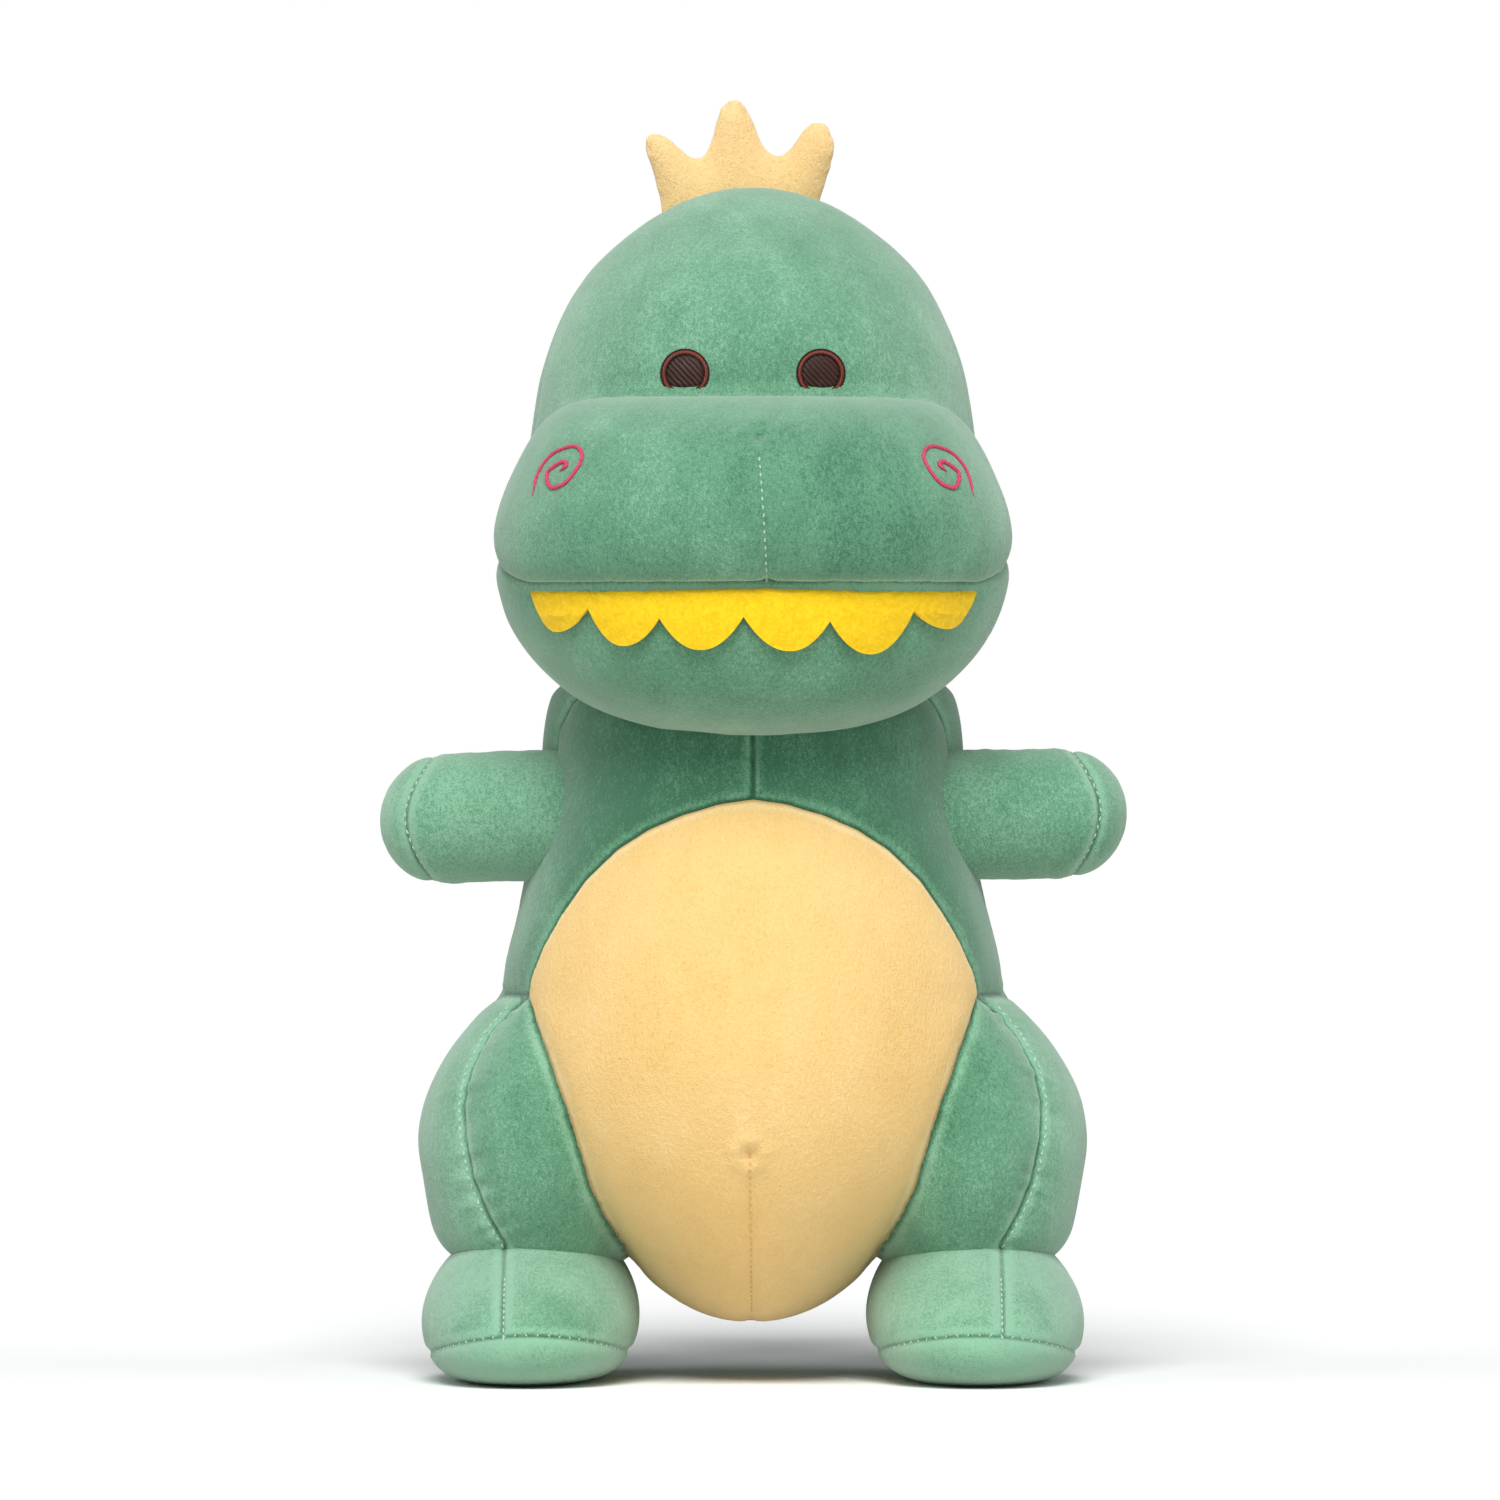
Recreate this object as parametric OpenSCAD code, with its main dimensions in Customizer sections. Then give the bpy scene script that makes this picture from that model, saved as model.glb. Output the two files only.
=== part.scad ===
// A stuffed dinosaur that stands on two padded feet: short pile plush panels sewn over
// loose filling, with embroidered eyes and nostrils, a felt row of teeth and a padded crest.
// +Z is up and the dinosaur faces -Y. The origin is on the floor, under the middle of its box.

/* [Cloth] */
// Thickness of a plush panel, backing and pile together
cloth_t = 2; // [1.5:0.25:3]
// Thickness of the felt that the teeth are cut from
felt_t = 1.6; // [1:0.1:2.5]
// How far embroidery and seam thread stand off the cloth
thread_t = 0.8; // [0.5:0.1:1.5]
// Width of a row of seam stitches
thread_w = 1.6; // [1:0.1:3]
// Thickness of the padded crest
crest_t = 12; // [8:1:16]

/* [Head] */
// Height of the neck's turning point above the floor
neck_z = 238; // [236:1:240]
// Radius of the round neck
neck_r = 72; // [70:0.5:73]
// Height of the mouth line
mouth_z = 278; // [276:1:282]
// Height of the eyes
eye_z = 353.5; // [351:0.5:356]
// Half the distance between the eyes
eye_x = 23.5; // [20:0.5:28]
// Radius of an embroidered eye
eye_r = 8.5; // [7:0.25:10]
// Height of the nostrils
nostril_z = 320; // [312:1:326]
// Half the distance between the nostrils
nostril_x = 66; // [60:1:70]

/* [Arms] */
// Radius of a stuffed arm
arm_r = 23.3; // [20:0.1:24]
// Length of an arm from its shoulder point to the middle of its round end
arm_l = 35.7; // [30:0.1:45]
// Distance of a shoulder point from the middle
shoulder_x = 72; // [70:0.5:74]
// Height of a shoulder point
shoulder_z = 198.5; // [195:0.5:200]

/* [Tail] */
// Radius of the tail where it leaves the body
tail_root_r = 30; // [24:1:32]
// Radius of the tail's round tip
tail_tip_r = 10; // [8:1:14]

/* [Feet] */
// Height of the ankle crease, where a foot bends
ankle_z = 46; // [45:0.5:47]
// Thickness of a sole
sole_t = 3; // [2:0.5:3]

/* [Hidden] */

plush_green = [0.48, 0.70, 0.58];
plush_yellow = [0.96, 0.85, 0.61];
felt_yellow = [0.98, 0.84, 0.12];
thread_pale = [0.75, 0.85, 0.76];
thread_brown = [0.27, 0.17, 0.14];
thread_rust = [0.55, 0.25, 0.20];
thread_crimson = [0.76, 0.16, 0.30];
filling_white = [0.95, 0.95, 0.93];

gap = 0.3;          // between two pieces that must not touch
reach = 260;        // longer than any piece, for cutters
sides = 24;         // points round a stuffed form
neck_y = 5;         // the neck's axis, before the toy is centred
neck_depth = 15;    // how far the neck's filling goes down into the body, clear of the arms
shoulder_y = -12;
tail_root = [0, 66, 72];
tail_tip = [0, 154, 52];
muzzle_tip_y = -124;
// The toy is moved so that its box is centred on the origin.
centre_y = (tail_tip[1] + tail_tip_r + muzzle_tip_y) / 2;

// Every stuffed form is a stack of flat rounded rings, one for each of its stations:
// [height, middle of the ring in x, half width, front, back].
TORSO = [
    [22, 0, 8, -24, 0], [25, 0, 27, -43, 20], [34, 0, 44, -61, 42], [50, 0, 60, -78, 63],
    [75, 0, 76, -91, 81], [105, 0, 87, -96, 89], [135, 0, 90, -93, 89], [160, 0, 86, -85, 85],
    [185, 0, 80, -76, 81], [204, 0, 75, -70, 79], [216, 0, neck_r, neck_y - neck_r, neck_y + neck_r],
    [neck_z + 3, 0, neck_r, neck_y - neck_r, neck_y + neck_r]
];
LEG = [
    [40, 73, 35.5, -50, 38], [50, 73, 37, -54, 42], [65, 71, 41, -60, 48], [85, 69, 47, -64, 54],
    [105, 66, 46, -62, 56], [125, 60, 38, -52, 52], [142, 52, 26, -38, 42], [152, 46, 12, -20, 26],
    [155, 44, 4, -6, 12]
];
FOOT = [
    [sole_t, 79, 30, -76, 34], [8, 77, 35, -84, 38], [18, 76, 38, -90, 41], [30, 76, 38, -88, 41],
    [38, 76, 36.5, -82, 38], [43, 76, 33, -70, 33], [ankle_z - gap, 75, 28, -54, 27]
];
SKULL = [
    [243, 0, 76, -70, 83], [252, 0, 78, -73, 88], [270, 0, 80, -76, 94], [300, 0, 82, -78, 98],
    [330, 0, 81, -77, 96], [352, 0, 78, -73, 90], [370, 0, 71, -66, 80], [385, 0, 61, -56, 67],
    [398, 0, 48, -43, 52], [408, 0, 34, -30, 37], [414, 0, 20, -17, 22], [417, 0, 5, -3, 8]
];
MUZZLE = [
    [mouth_z - 4, 0, 84, -108, 20], [mouth_z, 0, 89, -117, 20], [288, 0, 91, -123, 20],
    [303, 0, 90, muzzle_tip_y, 20], [318, 0, 87, -120, 20], [330, 0, 83, -112, 15],
    [339, 0, 77, -103, 8], [345, 0, 67, -93, 0], [348, 0, 50, -82, -10]
];
JAW = [
    [231, 0, 10, -74, -44], [234, 0, 39, -90, -20], [240, 0, 58, -98, 0], [250, 0, 72, -105, 20],
    [262, 0, 81, -109, 30], [274, 0, 87, -110, 30], [290, 0, 88, -106, 30]
];

// Outlines of the panels, seen from the front: [x, height].
BELLY = [
    [0, 207], [24, 202], [48, 191], [67, 167], [76, 149], [79, 135], [72, 119], [66, 102],
    [60, 84], [56, 68], [50, 55], [44, 45], [33, 33], [24, 28], [0, 15]
];
THIGH_SEAM = [
    [79, 135], [88, 130], [95, 118], [99, 110], [101, 92], [98, 72], [91, 58], [85, 48]
];
// The stitches show on the leg, short of both ends of the seam.
THIGH_STITCHES = [[97, 114], [99, 110], [101, 92], [98, 72], [93, 62]];
FOOT_SEAM = [[85, 44], [87, 36], [88, 18]];
SOLE_SEAM = [[40, 11], [50, 15], [70, 16], [88, 17], [104, 16], [113, 14]];
CREST = [
    [-31, 395], [-33, 412], [-39, 434], [-34, 438], [-26, 433], [-20, 428], [-16, 431], [-12, 446],
    [-8, 450], [-3, 448], [2, 438], [6, 431], [11, 429], [15, 433], [19, 440], [25, 441],
    [30, 433], [28, 422], [22, 410], [21, 395]
];
// The side seams, seen from the side: [y, height].
BODY_SIDE_SEAM = [[-35, 245], [-12, 221], [-5, 180], [5, 130], [5, 10]];
JAW_SEAM = [[-140, mouth_z], [-72, mouth_z + 1], [-52, mouth_z + 13], [10, mouth_z + 17]];
// The teeth's lower edge: [middle, half width, lowest point] of each scallop, and the felt's top.
TEETH = [
    [-66.5, 10.5, 264], [-44, 12, 259.5], [-17.5, 14.5, 258], [11.5, 14.5, 257.5], [40.5, 14.5, 256.5],
    [66.5, 10.5, 265]
];
tooth_notch_z = 270;
jaw_middle_y = -45;     // the felt reaches no further back than the widest part of the jaw
head_seam_y = 0;        // the seam between the front and the back of the head
crest_hinge = [0, 24, 413];
crest_travel = 20;
ankle_travel = 8;
ankle_y = -8;
ankle_rise = 6.8;       // how far a toe that bends up rises above the ankle crease
foot_inner_x = 36.7;    // the body stays on this side of the feet, low down
foot_seam_x = 87;

// ---- the stuffed forms ----

function mixed(a, b, t) = a + (b - a) * t;
// A station drawn in by t all round; the two ends also move towards each other.
function drawn_in(s, t) = [
    for (i = [0 : len(s) - 1]) [
        s[i][0] + (i == 0 ? t : (i == len(s) - 1 ? -t : 0)),
        s[i][1], max(s[i][2] - t, 1), min(s[i][3] + t, (s[i][3] + s[i][4]) / 2 - 1),
        max(s[i][4] - t, (s[i][3] + s[i][4]) / 2 + 1)
    ]
];
function ring(s) = [
    for (k = [0 : sides - 1])
        let (a = 360 * k / sides)
        [s[1] + s[2] * cos(a), (s[3] + s[4]) / 2 + (s[4] - s[3]) / 2 * sin(a), s[0]]
];
function fan_below(n) = [for (k = [1 : n - 2]) [0, k, k + 1]];
function fan_above(first, n) = [for (k = [1 : n - 2]) [first, first + k + 1, first + k]];
function wall(rows, n) = [
    for (r = [0 : rows - 2], k = [0 : n - 1])
        let (a = r * n + k, b = r * n + (k + 1) % n)
        each [[a, a + n, b + n], [a, b + n, b]]
];
module form(stations, inset) {
    rings = drawn_in(stations, inset);
    rows = len(rings);
    polyhedron(
        points = [for (s = rings) each ring(s)],
        faces = concat(fan_below(sides), wall(rows, sides), fan_above((rows - 1) * sides, sides)),
        convexity = 6
    );
}
module mirrored(side) {
    if (side > 0) children();
    else mirror([1, 0, 0]) children();
}
// One closed facet mesh of a soft shape.
module soft(colour) {
    color(colour) translate([0, -centre_y, 0]) resize([0, 0, 0]) children();
}
module exact(colour) {
    color(colour) translate([0, -centre_y, 0]) children();
}

// ---- cutters ----

module from_front(depth = reach) {
    rotate([90, 0, 0]) linear_extrude(depth) children();
}
module from_side() {
    rotate([90, 0, 90]) linear_extrude(2 * reach, center = true) children();
}
module one_side(side) {
    translate([side > 0 ? 0 : -reach, -reach, -reach]) cube([reach, 2 * reach, 3 * reach]);
}
module stitches(points) {
    for (i = [0 : len(points) - 2])
        hull() {
            translate(points[i]) circle(d = thread_w, $fn = 8);
            translate(points[i + 1]) circle(d = thread_w, $fn = 8);
        }
}
module belly_outline() {
    polygon(concat(BELLY, [for (i = [len(BELLY) - 2 : -1 : 1]) [-BELLY[i][0], BELLY[i][1]]]));
}
module behind_side_seam() {
    from_side() polygon(concat(BODY_SIDE_SEAM, [[reach, 10], [reach, 245]]));
}
module thigh_outline() {
    polygon(concat([[0, 135]], THIGH_SEAM, [[85, 10], [0, 10]]));
}
module below_mouth() {
    from_side() polygon(concat(JAW_SEAM, [[10, 200], [-140, 200]]));
}

// ---- body ----

module body_form(inset) {
    difference() {
        union() {
            form(TORSO, inset);
            for (side = [-1, 1]) mirrored(side) form(LEG, inset);
        }
        for (side = [-1, 1]) mirrored(side) foot_room(max(inset, 0));
    }
}
// Above each foot the body ends in a shallow wedge, so that the foot can bend under it.
module foot_room(inset) {
    intersection() {
        for (turn = [-ankle_travel - 1, ankle_travel + 1])
            translate([0, ankle_y, ankle_z + gap + inset])
                rotate([turn, 0, 0]) translate([-reach, -reach, -reach]) cube([2 * reach, 2 * reach, reach]);
        translate([foot_inner_x - inset, -reach, -reach])
            cube([reach, 2 * reach, reach + ankle_z + ankle_rise + inset]);
    }
}
module arm_room() {
    for (side = [-1, 1]) mirrored(side) translate([shoulder_x, shoulder_y, shoulder_z])
        hull() {
            sphere(arm_r + 1.3, $fn = 32);
            translate([40, 0, 0]) sphere(arm_r + 21, $fn = 32);
        }
}
module tail_room() {
    hull() {
        translate(tail_root) sphere(tail_root_r + 0.8, $fn = 32);
        translate(mixed(tail_root, tail_tip, 0.8)) sphere(tail_root_r + 16, $fn = 32);
    }
}
module neck_room(radius) {
    translate([0, neck_y, neck_z - neck_depth]) cylinder(r = radius, h = reach, $fn = 64);
}
module body_skin() {
    difference() {
        body_form(0);
        body_form(cloth_t);
        neck_room(neck_r - cloth_t);
        arm_room();
        tail_room();
    }
}
module body_stuffing() {
    soft(filling_white) difference() {
        body_form(cloth_t + gap);
        neck_room(reach);
        arm_room();
        tail_room();
    }
}
module belly_panel() {
    soft(plush_yellow) intersection() {
        body_skin();
        from_front() belly_outline();
    }
}
module front_skin(side) {
    difference() {
        intersection() {
            body_skin();
            one_side(side);
        }
        from_front() belly_outline();
        behind_side_seam();
    }
}
module chest_panel(side) {
    soft(plush_green) difference() {
        front_skin(side);
        translate([-reach, -reach, -reach]) cube([2 * reach, 2 * reach, reach + 135]);
    }
}
module lower_front_skin(side) {
    intersection() {
        front_skin(side);
        translate([-reach, -reach, -reach]) cube([2 * reach, 2 * reach, reach + 135]);
    }
}
module thigh_panel(side) {
    soft(plush_green) intersection() {
        lower_front_skin(side);
        mirrored(side) translate([0, reach, 0]) from_front(2 * reach) thigh_outline();
    }
}
module hip_panel(side) {
    soft(plush_green) difference() {
        lower_front_skin(side);
        mirrored(side) translate([0, reach, 0]) from_front(2 * reach) thigh_outline();
    }
}
module back_panel(side) {
    soft(plush_green) difference() {
        intersection() {
            body_skin();
            one_side(side);
            behind_side_seam();
        }
        from_front() belly_outline();
    }
}
// A row of stitches on the front of the body or of a leg, which leaves out what the rest covers.
module body_thread(colour, side, on, points) {
    soft(colour) difference() {
        mirrored(side) intersection() {
            form(on, -thread_t);
            from_front() stitches(points);
        }
        body_form(0);
    }
}

// ---- neck and head ----

module neck_stuffing() {
    plug_r = neck_r - cloth_t - gap;
    ball_r = neck_r + 2.8;
    foot = neck_z - neck_depth + gap;
    rim = neck_z + 3.5;
    exact(filling_white) translate([0, neck_y, 0]) union() {
        translate([0, 0, foot]) cylinder(r = plug_r, h = rim - foot + 1, $fn = 64);
        difference() {
            translate([0, 0, neck_z]) sphere(ball_r, $fn = 64);
            translate([0, 0, rim - reach]) cylinder(r = reach, h = reach, $fn = 64);
        }
    }
}
module head_form(inset) {
    form(SKULL, inset);
    form(MUZZLE, inset);
    form(JAW, inset);
}
module neck_ball_room() {
    translate([0, neck_y, neck_z]) sphere(neck_r + 3.5, $fn = 48);
}
module head_skin() {
    difference() {
        head_form(0);
        head_form(cloth_t);
        neck_ball_room();
    }
}
module head_stuffing() {
    soft(filling_white) difference() {
        head_form(cloth_t + gap);
        neck_ball_room();
    }
}
module behind_head_seam() {
    translate([-reach, head_seam_y, 0]) cube([2 * reach, reach, 2 * reach]);
}
module forehead_panel() {
    soft(plush_green) difference() {
        head_skin();
        form(MUZZLE, -0.2);
        below_mouth();
        behind_head_seam();
    }
}
module muzzle_panel() {
    soft(plush_green) difference() {
        intersection() {
            head_skin();
            form(MUZZLE, -0.2);
        }
        below_mouth();
        behind_head_seam();
    }
}
module jaw_panel() {
    soft(plush_green) difference() {
        intersection() {
            head_skin();
            below_mouth();
        }
        behind_head_seam();
    }
}
module head_back_panel(side) {
    soft(plush_green) intersection() {
        head_skin();
        behind_head_seam();
        one_side(side);
    }
}
module head_embroidery(colour, on) {
    soft(colour) difference() {
        intersection() {
            form(on, -thread_t);
            from_front() children();
        }
        head_form(0);
    }
}
module eye_centre(side) {
    head_embroidery(thread_brown, SKULL) translate([side * eye_x, eye_z]) circle(eye_r * 0.74, $fn = 32);
}
module eye_ring(side) {
    head_embroidery(thread_rust, SKULL) translate([side * eye_x, eye_z]) difference() {
        circle(eye_r, $fn = 32);
        circle(eye_r * 0.76, $fn = 32);
    }
}
// A nostril is a spiral of satin stitch that opens outwards into a tail.
module nostril(side) {
    turns = 1.75;
    path = [
        for (t = [0 : 0.0625 : 1])
            let (a = 60 - 360 * turns * t, r = 0.8 + 8.2 * t)
            [side * (nostril_x - r * cos(a)), nostril_z + r * sin(a)]
    ];
    head_embroidery(thread_crimson, MUZZLE) stitches(path);
}
module muzzle_seam_thread() {
    head_embroidery(thread_pale, MUZZLE) stitches([[0, 329], [0, 284]]);
}
function tooth_depth(x) = min([
    for (t = TEETH)
        let (u = (x - t[0]) / (t[1] + 0.01))
        abs(u) < 1 ? mixed(tooth_notch_z, t[2], sqrt(1 - u * u)) : tooth_notch_z
]);
module teeth_outline() {
    end_x = 77;
    edge = [for (x = [-end_x : 2.2 : end_x]) [x, tooth_depth(x)]];
    polygon(concat([[end_x, mouth_z - 4 - gap], [-end_x, mouth_z - 4 - gap]], edge));
}
// The felt hangs from the mouth seam, just in front of the jaw.
module felt_teeth() {
    stand_off = 2;
    soft(felt_yellow) intersection() {
        difference() {
            form(JAW, -stand_off - felt_t);
            form(JAW, -stand_off);
        }
        translate([0, jaw_middle_y, 0]) from_front() teeth_outline();
    }
}

// ---- crest ----

module crest_layer(colour, near, far) {
    soft(colour) difference() {
        translate([0, crest_hinge[1] + far, 0]) from_front(far - near) offset(r = 2) offset(delta = -2)
            polygon(CREST);
        for (turn = [-crest_travel : crest_travel / 2 : crest_travel])
            translate(crest_hinge) rotate([turn, 0, 0]) translate(-crest_hinge) form(SKULL, -0.6);
    }
}
module crest_front_panel() {
    crest_layer(plush_yellow, -crest_t / 2, -crest_t / 2 + cloth_t);
}
module crest_back_panel() {
    crest_layer(plush_yellow, crest_t / 2 - cloth_t, crest_t / 2);
}
module crest_stuffing() {
    crest_layer(filling_white, -crest_t / 2 + cloth_t, crest_t / 2 - cloth_t);
}

// ---- arms ----

// Each arm lies along +X from its shoulder point, round about its own axis.
module at_shoulder(side) {
    mirrored(side) translate([shoulder_x, shoulder_y, shoulder_z]) children();
}
module arm_solid(radius) {
    rotate([0, 90, 0]) union() {
        sphere(radius, $fn = 48);
        cylinder(r = radius, h = arm_l, $fn = 48);
        translate([0, 0, arm_l]) sphere(radius, $fn = 48);
    }
}
arm_tip_cut = arm_l + 14;
arm_open = -11;
module arm_shell() {
    difference() {
        arm_solid(arm_r);
        arm_solid(arm_r - cloth_t);
    }
}
module arm_slab(from, to, y_from, y_to) {
    translate([from, y_from, -reach]) cube([to - from, y_to - y_from, 2 * reach]);
}
module arm_front_panel(side) {
    exact(plush_green) at_shoulder(side) intersection() {
        arm_shell();
        arm_slab(arm_open, arm_tip_cut, -reach, -gap / 2);
    }
}
module arm_back_panel(side) {
    exact(plush_green) at_shoulder(side) intersection() {
        arm_shell();
        arm_slab(arm_open, arm_tip_cut, gap / 2, reach);
    }
}
module arm_tip_panel(side) {
    exact(plush_green) at_shoulder(side) intersection() {
        arm_shell();
        arm_slab(arm_tip_cut + gap, reach, -reach, reach);
    }
}
module arm_stuffing(side) {
    exact(filling_white) at_shoulder(side) difference() {
        arm_solid(arm_r - cloth_t - gap);
        sphere(arm_r - cloth_t + gap, $fn = 48);
        arm_slab(-reach, 0, -reach, reach);
    }
}
module shoulder_stuffing(side) {
    exact(filling_white) at_shoulder(side) sphere(arm_r - cloth_t - gap, $fn = 48);
}

// ---- feet ----

module foot_skin(side) {
    mirrored(side) difference() {
        form(FOOT, 0);
        form(FOOT, cloth_t);
    }
}
module foot_inner_panel(side) {
    soft(plush_green) intersection() {
        foot_skin(side);
        mirrored(side) translate([0, -reach, 0]) cube([foot_seam_x, 2 * reach, reach]);
    }
}
module foot_outer_panel(side) {
    soft(plush_green) intersection() {
        foot_skin(side);
        mirrored(side) translate([foot_seam_x, -reach, 0]) cube([reach, 2 * reach, reach]);
    }
}
module foot_stuffing(side) {
    soft(filling_white) mirrored(side) form(FOOT, cloth_t + gap);
}
module sole(side) {
    base = FOOT[0];
    exact(plush_green) mirrored(side) linear_extrude(sole_t)
        polygon([for (p = ring(base)) [p[0], p[1]]]);
}
module foot_seam_thread(side) {
    soft(thread_pale) mirrored(side) difference() {
        intersection() {
            form(FOOT, -thread_t);
            from_front() union() {
                stitches(FOOT_SEAM);
                stitches(SOLE_SEAM);
            }
            translate([0, -reach, sole_t + gap]) cube([reach, 2 * reach, ankle_z - sole_t - 4]);
        }
        form(FOOT, 0);
    }
}

// ---- tail ----

tail_axis = tail_tip - tail_root;
tail_l = norm(tail_axis);
tail_drop = atan2(-tail_axis[2], tail_axis[1]);
// The tail lies along its own axis and tapers to a round tip.
module tail_solid(inset) {
    translate(tail_root) rotate([-90 - tail_drop, 0, 0]) hull() {
        sphere(tail_root_r - inset, $fn = 28);
        translate([0, 0, tail_l]) sphere(tail_tip_r - inset, $fn = 16);
    }
}
module tail_panel(side) {
    soft(plush_green) difference() {
        tail_solid(0);
        tail_solid(cloth_t);
        one_side(-side);
        translate([-reach, tail_root[1] - 8 - 2 * reach, -reach]) cube(2 * reach);
    }
}
module tail_stuffing() {
    soft(filling_white) tail_solid(cloth_t + gap);
}

body_stuffing();
belly_panel();
chest_panel(1);  // chest_panel_left
chest_panel(-1);  // chest_panel_right
back_panel(1);  // back_panel_left
back_panel(-1);  // back_panel_right
thigh_panel(1);  // thigh_panel_left
thigh_panel(-1);  // thigh_panel_right
hip_panel(1);  // hip_panel_left
hip_panel(-1);  // hip_panel_right
body_thread(plush_yellow, 1, TORSO, [[0, 83], [0, 30]]);  // belly_dart_thread
body_thread(thread_pale, 1, LEG, THIGH_STITCHES);  // thigh_seam_thread_left
body_thread(thread_pale, -1, LEG, THIGH_STITCHES);  // thigh_seam_thread_right
body_thread(thread_pale, 1, TORSO, [[0, 226], [0, 211]]);  // chest_seam_thread
neck_stuffing();
head_stuffing();
forehead_panel();
muzzle_panel();
jaw_panel();
head_back_panel(1);  // head_back_panel_left
head_back_panel(-1);  // head_back_panel_right
muzzle_seam_thread();
eye_centre(1);  // eye_centre_left
eye_centre(-1);  // eye_centre_right
eye_ring(1);  // eye_ring_left
eye_ring(-1);  // eye_ring_right
nostril(1);  // nostril_left
nostril(-1);  // nostril_right
felt_teeth();
crest_front_panel();
crest_back_panel();
crest_stuffing();
shoulder_stuffing(1);  // shoulder_stuffing_left
shoulder_stuffing(-1);  // shoulder_stuffing_right
arm_front_panel(1);  // arm_front_panel_left
arm_front_panel(-1);  // arm_front_panel_right
arm_back_panel(1);  // arm_back_panel_left
arm_back_panel(-1);  // arm_back_panel_right
arm_tip_panel(1);  // arm_tip_panel_left
arm_tip_panel(-1);  // arm_tip_panel_right
arm_stuffing(1);  // arm_stuffing_left
arm_stuffing(-1);  // arm_stuffing_right
foot_inner_panel(1);  // foot_inner_panel_left
foot_inner_panel(-1);  // foot_inner_panel_right
foot_outer_panel(1);  // foot_outer_panel_left
foot_outer_panel(-1);  // foot_outer_panel_right
foot_stuffing(1);  // foot_stuffing_left
foot_stuffing(-1);  // foot_stuffing_right
sole(1);  // sole_left
sole(-1);  // sole_right
foot_seam_thread(1);  // foot_seam_thread_left
foot_seam_thread(-1);  // foot_seam_thread_right
tail_panel(1);  // tail_panel_left
tail_panel(-1);  // tail_panel_right
tail_stuffing();
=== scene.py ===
# %% [markdown]
# # A stuffed dinosaur, sewn and stuffed in Blender
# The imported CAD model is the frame: it says where every stuffed volume, seam and joint is.
# Each stuffed volume gets one closed plush cover here. The cover starts as a loft, is joined
# by a voxel remesh, blown up by cloth simulation with its seams held, and then its seams are
# cut into it. Embroidery, felt and stitches are laid on the covers last.
# The dinosaur faces -Y, its left side is +X, and every length is in metres.

# %% Load the frame
import math
import time

import bmesh
import bpy
import numpy as np
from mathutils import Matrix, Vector, noise
from mathutils.bvhtree import BVHTree
from mathutils.kdtree import KDTree


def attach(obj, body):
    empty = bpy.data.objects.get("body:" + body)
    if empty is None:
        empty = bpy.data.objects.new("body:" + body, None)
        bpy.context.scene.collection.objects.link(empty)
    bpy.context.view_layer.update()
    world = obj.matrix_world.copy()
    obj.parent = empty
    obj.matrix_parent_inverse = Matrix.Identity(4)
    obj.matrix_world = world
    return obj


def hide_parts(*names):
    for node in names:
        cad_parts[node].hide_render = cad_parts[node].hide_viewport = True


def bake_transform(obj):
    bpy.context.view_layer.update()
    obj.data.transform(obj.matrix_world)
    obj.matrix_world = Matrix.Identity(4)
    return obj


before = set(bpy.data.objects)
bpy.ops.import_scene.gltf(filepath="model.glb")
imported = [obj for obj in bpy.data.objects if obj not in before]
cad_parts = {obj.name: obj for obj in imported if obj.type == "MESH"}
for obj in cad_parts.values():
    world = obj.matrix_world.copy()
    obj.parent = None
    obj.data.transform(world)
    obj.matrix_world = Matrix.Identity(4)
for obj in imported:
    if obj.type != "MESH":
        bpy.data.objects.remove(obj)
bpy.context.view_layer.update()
started = time.time()
MM = 0.001

# %% [markdown]
# ## The sizes
# A stuffed form is a stack of level rounded rings, one for each of its stations:
# (height, middle in x, half width, front y, back y). They follow the stations of the CAD
# solids to a few millimetres, with soft ends added, so every cover sits round its solid.

# %% The stations of the stuffed forms
TORSO = [
    (0.0215, 0.0, 0.0060, -0.0520, -0.0200),
    (0.0235, 0.0, 0.0170, -0.0650, -0.0050),
    (0.0285, 0.0, 0.0270, -0.0770, 0.0090),
    (0.0370, 0.0, 0.0375, -0.0870, 0.0220),
    (0.0500, 0.0, 0.0520, -0.0980, 0.0400),
    (0.0750, 0.0, 0.0760, -0.1110, 0.0610),
    (0.1050, 0.0, 0.0880, -0.1160, 0.0690),
    (0.1350, 0.0, 0.0890, -0.1130, 0.0690),
    (0.1600, 0.0, 0.0848, -0.1050, 0.0650),
    (0.1850, 0.0, 0.0792, -0.0960, 0.0610),
    (0.2040, 0.0, 0.0765, -0.0900, 0.0590),
    (0.2160, 0.0, 0.0745, -0.0870, 0.0570),
    (0.2360, 0.0, 0.0730, -0.0860, 0.0560),
    (0.2440, 0.0, 0.0660, -0.0800, 0.0500),
    (0.2470, 0.0, 0.0400, -0.0600, 0.0300),
]
LEG = [
    (0.0380, 0.0740, 0.0200, -0.0580, 0.0020),
    (0.0420, 0.0730, 0.0330, -0.0680, 0.0160),
    (0.0500, 0.0745, 0.0385, -0.0740, 0.0220),
    (0.0650, 0.0725, 0.0425, -0.0810, 0.0280),
    (0.0850, 0.0705, 0.0480, -0.0850, 0.0340),
    (0.1050, 0.0672, 0.0462, -0.0830, 0.0360),
    (0.1250, 0.0610, 0.0382, -0.0730, 0.0320),
    (0.1420, 0.0530, 0.0270, -0.0580, 0.0220),
    (0.1520, 0.0460, 0.0120, -0.0400, 0.0060),
    (0.1550, 0.0440, 0.0040, -0.0260, -0.0080),
]
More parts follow.
